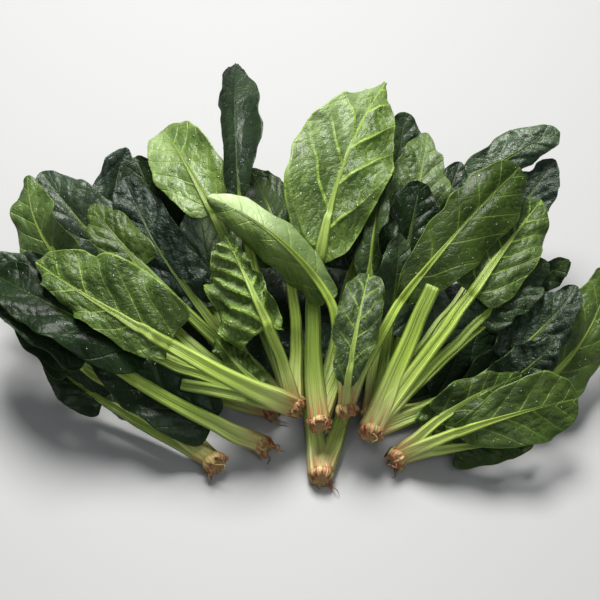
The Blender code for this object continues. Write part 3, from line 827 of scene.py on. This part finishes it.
def fine_blade(leaf, root, phase, lift, number, heap):
    """The blade's two faces in full detail, laid on the fine heap, and the values that its finish reads."""
    rows = int(np.clip(leaf.blade / ROW_STEP, *ROWS_WITHIN))
    half = int(np.clip(leaf.width / 2 / COLUMN_STEP, *HALF_COLUMNS_WITHIN))
    even = np.linspace(0, 1, rows + 1)
    share = spread(even)
    step = np.linspace(-1, 1, 2 * half + 1)
    side = np.sign(step) * np.abs(step) ** COLUMN_CROWDING
    points, normals = blade_surface(leaf, root, phase, share, side)
    s = np.repeat(share[:, None] * leaf.blade, len(side), axis=1)
    u = half_width(leaf, share)[:, None] * side * (1 - leaf.lean * np.sign(side))
    out = np.broadcast_to(np.abs(side), u.shape)
    count, spacing = vein_count(leaf, s, u, number)
    high, cell = relief(leaf, s, u, share[:, None], out, count, number)
    sideways = unit(np.gradient(points, axis=1)) * np.sign(side)[None, :, None]
    ragged = EDGE_RAGGED * NOISE.smooth(s / RAGGED_SIZE + 2 * number, 30 + 5 * np.sign(u)) * out**4
    ragged = ragged * (smooth(share / RAGGED_ENDS[0]) * smooth((1 - share) / RAGGED_ENDS[1]))[:, None]
    upper = points + normals * high[..., None] + sideways * ragged[..., None]
    upper = upper + lift_at(lift, STALK_ROWS + even * BLADE_ROWS, side)[..., None] * HEAP
    way = np.gradient(upper, axis=0)
    normals = unit(np.cross(np.gradient(upper, axis=1), way))
    off_vein = (count - np.round(count)) * spacing
    on_vein = np.exp(-(off_vein / VEIN_WIDTH) ** 2) * smooth(np.abs(u) / 2)
    rib_width = RIB_WIDTH[0] + (RIB_WIDTH[1] - RIB_WIDTH[0]) * share[:, None]
    rib = np.exp(-((u / rib_width) ** 2))
    raised = smooth(2 * leaf.vein - 0.6)
    along_rib = np.exp(-((u / (0.8 * rib_width)) ** 2)) * (1 - share[:, None])
    beside = np.exp(-(off_vein / RAISED_WIDTH) ** 2) * smooth(np.abs(u) / 2)
    groove = (1 - raised) * (0.35 * rib * (1 - share[:, None]) + VEIN_GROOVE * on_vein * (1 - out))
    groove = groove - raised * (RIB_RAISED * along_rib + VEIN_RAISED * beside * (1 - 0.8 * out))
    ridge = (rib_depth(share)[:, None] - 0.4) * rib
    depth = LEAF_THICK * (1 - 0.5 * out**8) + ridge + VEIN_RIDGE * on_vein * (1 - 0.7 * out)
    lower = upper - normals * depth[..., None]
    upper = upper - normals * groove[..., None]
    if leaf.rests:
        flatten(upper, lower, LEAF_THICK)
    extra = eased(np.maximum(at_corners(heap.needed_by(leaf, upper, lower)), 0.0), EASE_OVER, EASE_OVER)
    extra = extra * smooth(share / EASE_FROM)[:, None]
    upper = upper + extra[..., None] * HEAP
    lower = lower + extra[..., None] * HEAP
    lower = floored(lower)
    upper[..., 2] = np.maximum(upper[..., 2], LEAST_TOP)
    heap.add(upper)
    heap.add(lower)
    values = dict(
        across_mm=u, along=share[:, None], out=out, vein_count=count, cell=cell, vein_gap=spacing,
        tone=leaf.tone, bloom_and_sheen=leaf.blue, pucker=leaf.pucker, vein=leaf.vein, painted_sheen=leaf.painted_sheen,
    )
    values = {key: np.broadcast_to(value, u.shape) for key, value in values.items()}
    place = stacked(s + 200 * number, u, float(number))
    return upper, lower, values, place


def stalk_values(shape, **known):
    """What the stalk's finish reads at each point, 0 where it isn't given."""
    return {key: np.broadcast_to(known.get(key, 0.0), shape) for key in STALK_VALUES}


def fine_stalk(leaf, root, lift, number, upper):
    """Rings round the stalk, grooved along its front, and on over the blade as its midrib."""
    rows = int(np.clip(leaf.stalk / STALK_STEP, *STALK_ROWS_WITHIN))
    along = np.linspace(0, 1, rows + 1)
    line, _ = stalk_line(leaf, root, along)
    faint = 1 - smooth(leaf.vein / 0.5)
    sunk = 0.6 * faint * smooth((along - 0.5) / 0.5)
    line = line + lift_at(lift, along * STALK_ROWS, np.array([0.0])) * HEAP
    wide, deep = stalk_halves(leaf, along)
    if leaf.blade:
        middle = upper.shape[1] // 2
        normals = np.cross(np.gradient(upper, axis=1)[:, middle], np.gradient(upper[:, middle], axis=0))
        last = int(len(upper) * min(RIB_SHARE, RIB_REACH / leaf.blade))
        rows = np.arange(2, last, 2)
        onto = smooth(rows / last)
        fine = wide[-1] + (RIB_TIP[0] - wide[-1]) * onto
        high = deep[-1] + (RIB_TIP[1] - deep[-1]) * onto
        under = high * RIB_SUNK * smooth(3 * rows / last)
        line = np.vstack([line, upper[rows, middle] - unit(normals)[rows] * under[:, None]])
        hidden = faint * (0.6 + 0.4 * smooth(3 * rows / last))
        hidden = np.maximum(hidden, smooth((leaf.vein - 0.4) / 0.4) * smooth(4 * rows / last))
        sunk = np.concatenate([sunk, np.maximum(hidden, smooth(2.5 * onto - 1.5))])
        wide = np.concatenate([wide, fine])
        deep = np.concatenate([deep, high])
    s = np.concatenate([[0], np.cumsum(np.linalg.norm(np.diff(line, axis=0), axis=1))])
    way = unit(np.gradient(line, axis=0))
    across, front = faces_of(way)
    wobble = np.stack([NOISE.smooth(s / WOBBLE_SIZE + 4 * number, lane + 0 * s) for lane in (60.5, 70.5)])
    wobble = STALK_WOBBLE * wobble * smooth(s / STEADY_END) * smooth((leaf.stalk - s) / STEADY_END)
    line = line + across * wobble[0][:, None] + front * wobble[1][:, None] * 0.5
    angle = 2 * math.pi * np.arange(FINE_SIDES) / FINE_SIDES
    x, y = np.cos(angle)[None, :], np.sin(angle)[None, :]
    middle_front = np.exp(-((x / GROOVE_WIDE) ** 2)) * (y > 0)
    grooved = smooth(s / GROOVE_FROM)[:, None] * STALK_GROOVE * middle_front
    ribbed = 1 + STALK_RIBS * (np.cos(8 * angle) + 0.6 * np.cos(13 * angle + 1))[None, :]
    swollen = 1 + SWOLLEN * NOISE.smooth(s / SWOLLEN_SIZE + 8 * number, 50.5 + 0 * s)[:, None]
    far_x, far_y = wide[:, None] * x * ribbed * swollen, deep[:, None] * (y * ribbed * swollen - grooved)
    rings = floored(ringed(line, across, front, far_x, far_y))
    # The flank value paints shade along the stalk's sides and back, where stalks meet and shade one
    # another.
    values = stalk_values(
        rings.shape[:2], from_root=s[:, None], along=(s / s[-1])[:, None], stem=leaf.stem, tone=leaf.tone,
        vein=leaf.vein, sunk=sunk[:, None], flank=1 - smooth(y / 0.6), front=middle_front,
    )
    place = stacked(s[:, None], leaf.thick * x, leaf.thick * y + 40.0 * number)
    return rings, values, place


def fine_root(plant, place, number):
    """Rings round the root end, with the scars of old leaves."""
    way, across, up = root_axes(plant)
    turns = 2 * math.pi * np.arange(ROOT_FINE_SIDES) / ROOT_FINE_SIDES
    far = np.linspace(ROOT_PROFILE[0][0], ROOT_PROFILE[-1][0], ROOT_RINGS)
    share = np.interp(far, [p[0] for p in ROOT_PROFILE], [p[1] for p in ROOT_PROFILE])
    share = np.convolve(np.pad(share, 2, mode="edge"), np.ones(5) / 5, mode="valid")
    share = share * (0.3 + 0.7 * smooth((far - far[0]) / ROOT_MERGE))
    around = np.cos(turns)[None, :] * ROOT_PATTERN + 90
    other = np.sin(turns)[None, :] * ROOT_PATTERN + 13 * number
    rough = ROOT_ROUGH[0] * NOISE.smooth(around + far[:, None] / 9, other)
    rough = rough + ROOT_ROUGH[1] * NOISE.smooth(3 * around, 3 * other + far[:, None] / 6)
    bared = smooth((far[:, None] - BARED_FROM) / BARED_OVER)
    lobes = ROOT_LOBED * (np.abs(np.sin(ROOT_LOBES / 2 * turns + number)) - 0.6)[None, :]
    ribs = ROOT_RIBBED * np.sin(ROOT_RIBS * turns + number)[None, :]
    radius = plant.radius * share[:, None] * (1 + rough + lobes + ribs)
    jagged = JAGGED[0] * NOISE.smooth(2 * around, 2 * other)
    jagged = jagged + JAGGED[1] * NOISE.smooth(5 * around, 5 * other)
    rings = (
        place
        + way * (far[:, None] + jagged * bared)[..., None]
        + radius[..., None] * (np.cos(turns)[:, None] * across + np.sin(turns)[:, None] * up)
    )
    rings = floored(rings)
    skin = smooth((far[:, None] - 1.5 + 2.5 * NOISE.smooth(2 * around, 2 * other + 5)) / 4)
    values = stalk_values(rings.shape[:2], from_root=-far[:, None], skin=skin, stem=0.5)
    round_x, round_y = plant.radius * np.cos(turns), plant.radius * np.sin(turns)
    return rings, values, stacked(far[:, None], round_x, round_y - 50.0 * number)


def strand(line, wide, deep, skin):
    """Rings round a thin flat strand that narrows to a point."""
    forward = unit(np.gradient(line, axis=0))
    side, front = faces_of(forward)
    turns = 2 * math.pi * np.arange(STRAND_SIDES) / STRAND_SIDES
    taper = np.linspace(1, 0, len(line))[:, None, None] ** 0.6 * 0.9 + 0.1
    rings = line[:, None] + taper * (
        wide * np.cos(turns)[:, None] * side[:, None] + deep * np.sin(turns)[:, None] * front[:, None]
    )
    rings = floored(rings)
    return rings, stalk_values(rings.shape[:2], from_root=-2.0, skin=skin, stem=0.5), rings.copy()


def scraps(plant, place, number):
    """Thin curled roots left round the cut end, and dry scales where the outer stalks broke off."""
    way, across, up = root_axes(plant)
    random = np.random.default_rng(100 + number)
    steps = np.linspace(0, 1, STRAND_RINGS)[:, None]
    for k in range(ROOTLETS[plant.name] + SCALES):
        turn = random.uniform(0, 2 * math.pi)
        aside = math.cos(turn) * across + math.sin(turn) * up
        bend = random.uniform(0.5, 1.0)
        if k < SCALES:
            start = place + way * random.uniform(-1, 4) + aside * plant.radius * 0.8
            length = random.uniform(*SCALE_LENGTH)
            line = start + aside * length * 0.5 * steps + way * length * (0.7 * bend - 0.5) * steps
            line = line + (way - aside) * 2.5 * bend * steps**2
            yield strand(line, random.uniform(*SCALE_HALF), SCALE_DEEP, random.uniform(0.2, 0.9))
            continue
        start = place + way * random.uniform(2, 6) + aside * plant.radius * 0.6
        length = random.uniform(*ROOTLET_LENGTH)
        curl = random.uniform(2, 4) * np.sin(steps * random.uniform(3, 8) + turn)
        line = start + aside * length * 0.5 * steps + way * length * 0.7 * steps
        line = line + np.cross(way, aside) * curl + np.array([0, 0, -ROOTLET_DROOP]) * steps**2
        yield strand(line, *ROOTLET_HALF, random.uniform(0.1, 0.9))


def capped(rings, values, place, cut):
    """A tube whose ends close over a narrower ring, and its values with the cut marked at the far end."""
    count, sides = rings.shape[:2]
    middles = rings[[0, -1]].mean(axis=1, keepdims=True)
    inset = middles + CAP_INSET * (rings[[0, -1]] - middles)
    points = np.vstack([rings.reshape(-1, 3), inset.reshape(-1, 3), middles.reshape(-1, 3)])
    r, c = np.mgrid[0 : count - 1, 0:sides]
    here, beside = r * sides + c, r * sides + (c + 1) % sides
    quads = np.stack([here, here + sides, beside + sides, beside], axis=-1).reshape(-1, 4)
    body = count * sides
    k = np.arange(sides)
    n = (k + 1) % sides
    last = (count - 1) * sides
    first_band = np.stack([k, n, body + n, body + k], axis=-1)
    last_band = np.stack([last + n, last + k, body + sides + k, body + sides + n], axis=-1)
    start, end = body + 2 * sides, body + 2 * sides + 1
    first_fan = np.stack([body + k, body + n, np.full(sides, start)], axis=-1)
    last_fan = np.stack([body + sides + n, body + sides + k, np.full(sides, end)], axis=-1)
    ends = {
        name: np.concatenate([v.ravel(), v[0], v[-1], v[0, :1], v[-1, :1]]) for name, v in values.items()
    }
    ends["cut"] = np.zeros(len(points))
    ends["cut"][body + sides : body + 2 * sides] = cut
    ends["cut"][end] = cut
    where = [place.reshape(-1, 3), place[0], place[-1], place[0].mean(axis=0), place[-1].mean(axis=0)]
    faces = np.vstack([quads, first_band, last_band]).tolist() + np.vstack([first_fan, last_fan]).tolist()
    return points, faces, ends, np.vstack(where)


def put_in_scene(name, data):
    made = bpy.data.objects.new(name, data)
    bpy.context.scene.collection.objects.link(made)
    return made


def add_piece(name, points, faces, values, place, finish):
    mesh = bpy.data.meshes.new(name)
    mesh.from_pydata((points * MM).tolist(), [], faces)
    for key, numbers in values.items():
        held = mesh.attributes.new(key, "FLOAT", "POINT")
        held.data.foreach_set("value", np.ascontiguousarray(numbers, dtype=np.float32))
    held = mesh.attributes.new("place_mm", "FLOAT_VECTOR", "POINT")
    held.data.foreach_set("vector", np.ascontiguousarray(place, dtype=np.float32).ravel())
    mesh.materials.append(finish)
    mesh.shade_smooth()
    return put_in_scene(name, mesh)


def add_blade(name, upper, lower, values, place, finish):
    """A thin closed leaf between its two faces."""
    rows, columns = upper.shape[:2]
    below = rows * columns
    r, c = np.mgrid[0 : rows - 1, 0 : columns - 1]
    a = (r * columns + c).ravel()
    top = np.stack([a, a + 1, a + columns + 1, a + columns], axis=-1)
    edge = np.concatenate(
        [
            np.arange(columns),
            np.arange(1, rows) * columns + columns - 1,
            (rows - 1) * columns + np.arange(columns - 2, -1, -1),
            np.arange(rows - 2, 0, -1) * columns,
        ]
    )
    following = np.roll(edge, -1)
    rim = np.stack([following, edge, below + edge, below + following], axis=-1)
    faces = np.vstack([top, below + top[:, ::-1], rim]).tolist()
    both = {key: np.concatenate([v.ravel(), v.ravel()]) for key, v in values.items()}
    both["under"] = np.concatenate([np.zeros(below), np.ones(below)])
    points = np.vstack([upper.reshape(-1, 3), lower.reshape(-1, 3)])
    where = np.vstack([place.reshape(-1, 3), place.reshape(-1, 3)])
    return add_piece(name, points, faces, both, where, finish)


class Finish:
    """A material, and short calls that add nodes to it."""

    def __init__(self, name):
        self.material = bpy.data.materials.new(name)
        self.material.use_nodes = True
        self.tree = self.material.node_tree
        self.shader = self.tree.nodes["Principled BSDF"]

    def put(self, socket, value):
        if isinstance(value, bpy.types.NodeSocket):
            self.tree.links.new(value, socket)
        else:
            socket.default_value = value

    def look(self, name, value):
        """Sets one of the material's own values."""
        self.put(self.shader.inputs[name], value)

    def add(self, kind, values, **settings):
        made = self.tree.nodes.new("ShaderNode" + kind)
        for key, value in settings.items():
            setattr(made, key, value)
        for socket, value in values.items():
            self.put(made.inputs[socket], value)
        return made

    def value(self, name):
        return self.add("Attribute", {}, attribute_name=name).outputs["Fac"]

    def place(self, *stretch):
        """Where on the leaf or stalk, in millimetres, stretched along each direction."""
        at = self.add("Attribute", {}, attribute_name="place_mm").outputs["Vector"]
        return self.add("VectorMath", {0: at, 1: stretch}, operation="MULTIPLY").outputs["Vector"]

    def math(self, operation, first, second=0.0, clamp=False):
        made = self.add("Math", {0: first, 1: second}, operation=operation, use_clamp=clamp)
        return made.outputs[0]

    def times(self, first, second):
        return self.math("MULTIPLY", first, second)

    def plus(self, first, second):
        return self.math("ADD", first, second)

    def band(self, value, start, end, low=0.0, high=1.0):
        """Rises smoothly from low to high as the value goes from start to end."""
        made = self.add(
            "MapRange",
            {"Value": value, "From Min": start, "From Max": end, "To Min": low, "To Max": high},
            interpolation_type="SMOOTHSTEP",
        )
        return made.outputs[0]

    def mix(self, share, first, second):
        """From the first colour at a share of 0 to the second at 1."""
        made = self.add("Mix", {0: share, 6: first, 7: second}, data_type="RGBA")
        return made.outputs[2]

    def noise(self, place, detail=2.0):
        made = self.add("TexNoise", {"Vector": place, "Scale": 1.0, "Detail": detail})
        return made.outputs["Fac"]

    def edges(self, place):
        made = self.add("TexVoronoi", {"Vector": place, "Scale": 1.0}, feature="DISTANCE_TO_EDGE")
        return made.outputs["Distance"]

    def drops(self):
        """1 in the middle of each scattered water drop."""
        at = self.place(DROP_SPACING, DROP_SPACING, 3.0)
        made = self.add("TexVoronoi", {"Vector": at, "Scale": 1.0}, voronoi_dimensions="2D", feature="F1")
        picked = self.band(self.add("SeparateColor", {"Color": made.outputs["Color"]}).outputs[0], 0.5, 0.6)
        near = self.band(made.outputs["Distance"], DROP_REACH, 0.3 * DROP_REACH)
        return self.times(near, picked)

    def coat(self, wet):
        """A film of water over the skin: weight and roughness."""
        self.look("Coat Weight", wet[0])
        self.look("Coat Roughness", wet[1])

    def bump(self, height, strength):
        """Height is in millimetres."""
        made = self.add("Bump", {"Height": height, "Distance": MM, "Strength": strength})
        self.look("Normal", made.outputs["Normal"])


def leaf_finish():
    """Dark, waxy and veined above, paler and duller below, with shade painted into the creases and into the
    veins of dark leaves, sheen painted towards some tips and a highlight painted along the margin.
    """
    f = Finish("leaf")
    tone, under, bloom_and_sheen = f.value("tone"), f.value("under"), f.value("bloom_and_sheen")
    along, out, across = f.value("along"), f.value("out"), f.value("across_mm")
    aside = f.math("ABSOLUTE", across)
    tone = f.math("POWER", tone, TONE_CURVE)
    # Each leaf's tone sets its green: partly its own colour, partly painted shade for leaves lying in
    # shade.
    top = f.mix(tone, LEAF_DARK, LEAF_BRIGHT)
    cloud = f.noise(f.place(CLOUD_GRAIN, CLOUD_GRAIN, 1.0), 3.0)
    top = f.mix(f.band(cloud, 0.35, 0.65, 0.0, 0.95), top, f.mix(tone, LEAF_DEEP, LEAF_MID))
    # Painted shade in the creases between the puckers, stronger on puckered leaves.
    crease_shade = f.band(f.value("cell"), 0.0, 0.45, 1.0, 0.0)
    crease_shade = f.times(crease_shade, f.band(f.value("pucker"), 0.2, 1.0, 0.1, 0.6))
    top = f.mix(crease_shade, top, f.mix(tone, LEAF_DEEP, LEAF_MID))
    # Grey-blue colour: partly the waxy bloom of the leaf, partly painted sheen where it reflects the sky.
    top = f.mix(f.times(bloom_and_sheen, 0.5), top, LEAF_BLOOM_AND_SHEEN)
    # Painted sheen: a pale wash towards the tip, on one side of the midrib, where the blade catches the
    # light.
    painted_sheen = f.value("painted_sheen")
    sunny = f.band(f.times(across, f.math("SIGN", painted_sheen)), -6.0, 6.0, 0.05, 1.0)
    painted_sheen = f.times(f.math("ABSOLUTE", painted_sheen), sunny)
    painted_sheen = f.times(painted_sheen, f.band(along, 0.3, 0.85, 0.15, 0.9))
    painted_sheen = f.math("MULTIPLY", painted_sheen, f.band(cloud, 0.3, 0.6, 1.0, 0.6), clamp=True)
    top = f.mix(painted_sheen, top, LEAF_PAINTED_SHEEN)
    below = f.mix(0.55, top, LEAF_UNDER)
    base = f.mix(under, top, below)
    gap = f.math("PINGPONG", f.value("vein_count"), 0.5)
    gap = f.times(gap, f.value("vein_gap"))
    halo = f.band(gap, 0.3, 3.6, 0.34, 0.0)
    bold = f.value("vein")
    narrowing = f.band(out, 0.0, 1.0, 1.5, 0.4)
    vein_half = f.times(narrowing, f.plus(f.times(bold, 0.8), 0.25))
    side_vein = f.band(f.math("DIVIDE", gap, vein_half), 0.6, 1.5, 1.0, 0.0)
    side_vein = f.times(side_vein, f.band(out, 0.35, 0.95, 1.0, 0.12))
    net = f.value("cell")
    net_line = f.band(net, 0.0, 0.2, 0.42, 0.0)
    fine_net = f.edges(f.place(NET_GRAIN, NET_GRAIN, 1.0))
    fine_line = f.band(fine_net, 0.02, 0.16, 0.12, 0.0)
    narrowing = f.band(along, 0.0, 1.0, 2.1, 0.4)
    rib_half = f.times(narrowing, f.plus(f.times(bold, 0.5), 0.55))
    rib = f.band(f.math("DIVIDE", aside, rib_half), 0.65, 1.25, 1.0, 0.0)
    # Veins, the net of creases and the halo round the veins take the vein colour: the veins' own pale green
    # on bright and bold-veined leaves, and painted shade in the grooves and creases on dark leaves.
    veins = f.math("MAXIMUM", side_vein, f.math("MAXIMUM", net_line, fine_line))
    veins = f.math("MAXIMUM", veins, halo)
    vein_and_shade_colour = f.mix(f.band(bold, 0.2, 1.0, 0.0, 1.0), f.mix(tone, VEIN_GROOVE_SHADE, VEIN_BRIGHT), VEIN_BRIGHT)
    shown = f.times(veins, f.band(bold, 0.0, 1.0, 0.4, 0.8))
    colour = f.mix(shown, base, vein_and_shade_colour)
    rib_colour = f.mix(along, f.mix(tone, RIB_DARK, RIB_BRIGHT), vein_and_shade_colour)
    colour = f.mix(f.times(rib, f.band(bold, 0.0, 0.3, 0.3, 0.92)), colour, rib_colour)
    # Painted highlight along the margin, in the vein colour. On dark leaves that colour is the painted
    # groove shade, so there the margin darkens instead.
    colour = f.mix(f.band(out, 0.95, 0.985, 0.0, 0.65), colour, vein_and_shade_colour)
    f.look("Base Color", colour)
    speckle = f.noise(f.place(SPECKLE_GRAIN, SPECKLE_GRAIN, 1.0), 3.0)
    rough = f.band(speckle, 0.3, 0.7, *LEAF_ROUGH)
    rough = f.plus(rough, f.times(under, 0.16))
    drop = f.drops()
    rough = f.band(drop, 0.0, 1.0, rough, DROP_ROUGH)
    f.look("Roughness", rough)
    gloss = f.plus(f.times(bloom_and_sheen, 0.3), f.times(tone, 0.25))
    gloss = f.plus(f.plus(gloss, 0.08), f.times(drop, 0.6))
    f.look("Specular IOR Level", gloss)
    grain = f.times(speckle, 0.15)
    crease = f.noise(f.place(CREASE_GRAIN, CREASE_GRAIN, 1.0), 3.0)
    crease = f.math("ABSOLUTE", f.math("SUBTRACT", crease, 0.5))
    creased = f.band(f.value("pucker"), 0.2, 1.2, 0.04, 0.45)
    crease = f.times(f.band(crease, 0.0, 0.14), creased)
    grain = f.plus(grain, crease)
    sunk = f.times(f.band(fine_net, 0.0, 0.35), 0.10)
    sunk = f.plus(sunk, f.band(net, 0.0, 0.3, 0.0, 0.2))
    sunk = f.plus(sunk, f.band(gap, 0.0, 1.3, 0.0, 0.35))
    sunk = f.times(sunk, f.band(under, 0.0, 1.0, 1.0, -1.0))
    height = f.plus(f.plus(grain, sunk), f.times(drop, DROP_HEIGHT))
    f.bump(height, LEAF_BUMP)
    f.coat(LEAF_WET)
    return f.material


def stalk_finish():
    """Pale juicy green with fine streaks, whiter low down and pink where it meets the root, with shade
    painted on shaded stalks, on their sides, in the front groove and in the low streaks, and highlights
    painted on the raised streaks.
    """
    f = Finish("stalk")
    from_root, along, skin = f.value("from_root"), f.value("along"), f.value("skin")
    stem, cut = f.value("stem"), f.value("cut")
    low = f.mix(f.band(from_root, 4.0, 60.0), STALK_PALE, STALK_GREEN)
    green = f.mix(f.band(along, 0.45, 1.0), low, STALK_LEAFY)
    # Painted shade: a shaded copy of the stalk's green, deeper away from the root, shown on stalks with a
    # low stem value.
    shaded_copy = f.mix(f.band(from_root, 0.0, 50.0, 0.45, 0.9), green, STALK_SHADED)
    green = f.mix(f.band(stem, 0.0, 0.8), shaded_copy, green)
    streak = f.noise(f.place(*STREAK_GRAIN), 2.0)
    ridge = f.noise(f.place(*RIDGE_GRAIN), 1.0)
    fibre = f.noise(f.place(*FIBRE_GRAIN), 2.0)
    # Streaks: partly the stalk's own pale striations, partly painted highlight on the raised streaks and
    # painted shade in the low ones and fine grooves.
    bright = f.mix(f.band(stem, 0.0, 0.8, 0.25, 0.85), green, STALK_STREAK)
    green = f.mix(f.band(ridge, 0.42, 0.62, 0.0, 0.75), green, bright)
    green = f.mix(f.band(streak, 0.5, 0.6, 0.0, 0.6), green, bright)
    green = f.mix(f.band(streak, 0.36, 0.46, 0.3, 0.0), green, STALK_SHADED)
    green = f.mix(f.band(fibre, 0.32, 0.5, 0.15, 0.0), green, STALK_SHADED)
    # Painted shade: darker green in the groove along the stalk's front.
    green = f.mix(f.band(f.value("front"), 0.4, 1.0, 0.0, 0.35), green, STALK_LEAFY)
    # Painted shade along the sides and back of each stalk, where stalks meet and shade one another.
    green = f.mix(f.times(f.value("flank"), 0.7), green, STALK_SHADED)
    blush = f.band(from_root, -4.0, 24.0, 1.0, 0.0)
    blush = f.times(blush, f.band(f.noise(f.place(*BLUSH_GRAIN)), 0.42, 0.6, 0.12, 0.95))
    green = f.mix(f.band(from_root, -3.0, 34.0, 0.6, 0.0), green, ROOT_CREAM)
    green = f.mix(blush, green, ROOT_BLUSH)
    bladed = f.mix(f.math("POWER", f.value("tone"), TONE_CURVE), RIB_DARK, RIB_MID)
    bladed = f.mix(f.band(f.value("vein"), 0.3, 0.8), bladed, RIB_BRIGHT)
    green = f.mix(f.times(f.value("sunk"), 0.9), green, bladed)
    rough_skin = f.noise(f.place(*SKIN_GRAIN), 4.0)
    brown = f.mix(f.band(rough_skin, 0.35, 0.65), ROOT_DARK, ROOT_TAN)
    scar = f.band(f.noise(f.place(*SCAR_GRAIN), 2.0), 0.5, 0.62)
    brown = f.mix(f.times(scar, 0.6), brown, ROOT_DARK)
    colour = f.mix(skin, green, brown)
    rings = f.noise(f.place(*CUT_GRAIN), 3.0)
    ringed = f.band(rings, 0.35, 0.65)
    colour = f.mix(cut, colour, f.mix(ringed, CUT_PALE, f.mix(skin, CUT_GREEN, ROOT_TAN)))
    f.look("Base Color", colour)
    f.look("Roughness", f.band(skin, 0.0, 1.0, *STALK_ROUGH))
    f.look("Specular IOR Level", STALK_GLOSS)
    f.look("Subsurface Weight", STALK_SCATTER[0])
    f.look("Subsurface Scale", STALK_SCATTER[1])
    height = f.plus(f.times(streak, 1.6), f.times(fibre, 0.4))
    height = f.plus(height, f.times(ridge, 1.4))
    height = f.plus(height, f.times(f.times(rough_skin, skin), 2.2))
    f.bump(height, STALK_BUMP)
    f.coat(STALK_WET)
    return f.material


def dress():
    """Makes every blade and every plant's stalks, and lays each on what is below it."""
    leaf_look, stalk_look = leaf_finish(), stalk_finish()
    plants = {plant.name: plant for plant in PLANTS}
    coarse, fine = Heap(10), Heap(2)
    places = {}
    grown = {name: [] for name in plants}
    counts = dict.fromkeys(plants, 0)
    for number, leaf in enumerate(LEAVES):
        plant = plants[leaf.plant]
        if leaf.plant not in places:
            own = [other for other in LEAVES if other.plant == leaf.plant]
            place = lay_root(plant, own, coarse)
            places[leaf.plant] = place
            order = list(plants).index(leaf.plant)
            grown[leaf.plant].append(capped(*fine_root(plant, place, order), 1.0))
            for scrap in scraps(plant, place, order):
                grown[leaf.plant].append(capped(*scrap, 0.0))
        place = places[leaf.plant]
        phase = PHASE_STEP * number % 1.0
        lift = lay(leaf, place, phase, coarse)
        upper = None
        if leaf.blade:
            counts[leaf.plant] += 1
            node = f"{leaf.plant}_blade_{counts[leaf.plant]}"
            upper, lower, values, where = fine_blade(leaf, place, phase, lift, number, fine)
            piece = add_blade(node + "_veined", upper, lower, values, where, leaf_look)
            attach(piece, "root")
            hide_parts(node)
        tube = fine_stalk(leaf, place, lift, number, upper)
        grown[leaf.plant].append(capped(*tube, 0.0 if leaf.blade else 1.0))
    for name, tubes in grown.items():
        points, faces, values, where, start = [], [], {}, [], 0
        for own_points, own_faces, own_values, own_place in tubes:
            points.append(own_points)
            faces += [[start + k for k in face] for face in own_faces]
            for key, numbers in own_values.items():
                values.setdefault(key, []).append(numbers)
            where.append(own_place)
            start += len(own_points)
        joined = {key: np.concatenate(parts) for key, parts in values.items()}
        where = np.vstack(where)
        piece = add_piece(name + "_stalks_ribbed", np.vstack(points), faces, joined, where, stalk_look)
        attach(piece, "root")
        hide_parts(name + "_stalks")


def floor():
    """A pale, faintly glossy table top."""
    mesh = bpy.data.meshes.new("table_top")
    signs = ((-1, -1), (1, -1), (1, 1), (-1, 1))
    corners = [(x * TABLE_HALF, y * TABLE_HALF, -FLOOR_DROP) for x, y in signs]
    mesh.from_pydata(corners, [], [(0, 1, 2, 3)])
    f = Finish("table_top")
    f.look("Base Color", TABLE_COLOUR)
    f.look("Roughness", TABLE_ROUGH)
    f.look("Specular IOR Level", TABLE_GLOSS)
    mesh.materials.append(f.material)
    made = put_in_scene("table_top", mesh)


def area_light(name, place, target, size, power, colour):
    light = bpy.data.lights.new(name, "AREA")
    light.shape = "DISK"
    light.size = size
    light.energy = power
    light.color = colour
    made = put_in_scene(name, light)
    made.location = place
    made.rotation_euler = (Vector(target) - Vector(place)).to_track_quat("-Z", "Y").to_euler()


def light_and_camera():
    world = bpy.data.worlds.new("studio")
    world.use_nodes = True
    sky = world.node_tree.nodes["Background"]
    sky.inputs["Color"].default_value = WORLD_COLOUR
    sky.inputs["Strength"].default_value = WORLD_STRENGTH
    bpy.context.scene.world = world
    bpy.context.scene.view_settings.view_transform = "Standard"
    middle = tuple(AIM * MM)
    area_light("key", KEY_PLACE, middle, KEY_SIZE, KEY_POWER, KEY_COLOUR)
    area_light("front_fill", FILL_PLACE, middle, FILL_SIZE, FILL_POWER, FILL_COLOUR)
    camera = bpy.data.cameras.new("camera")
    camera.lens = LENS
    camera.sensor_width = SENSOR
    made = put_in_scene("camera", camera)
    forward = np.array([0.0, math.cos(VIEW_DOWN), -math.sin(VIEW_DOWN)])
    made.location = (AIM - forward * DISTANCE) * MM
    made.rotation_euler = (math.pi / 2 - VIEW_DOWN, 0.0, 0.0)
    bpy.context.scene.camera = made


dress()
floor()
light_and_camera()
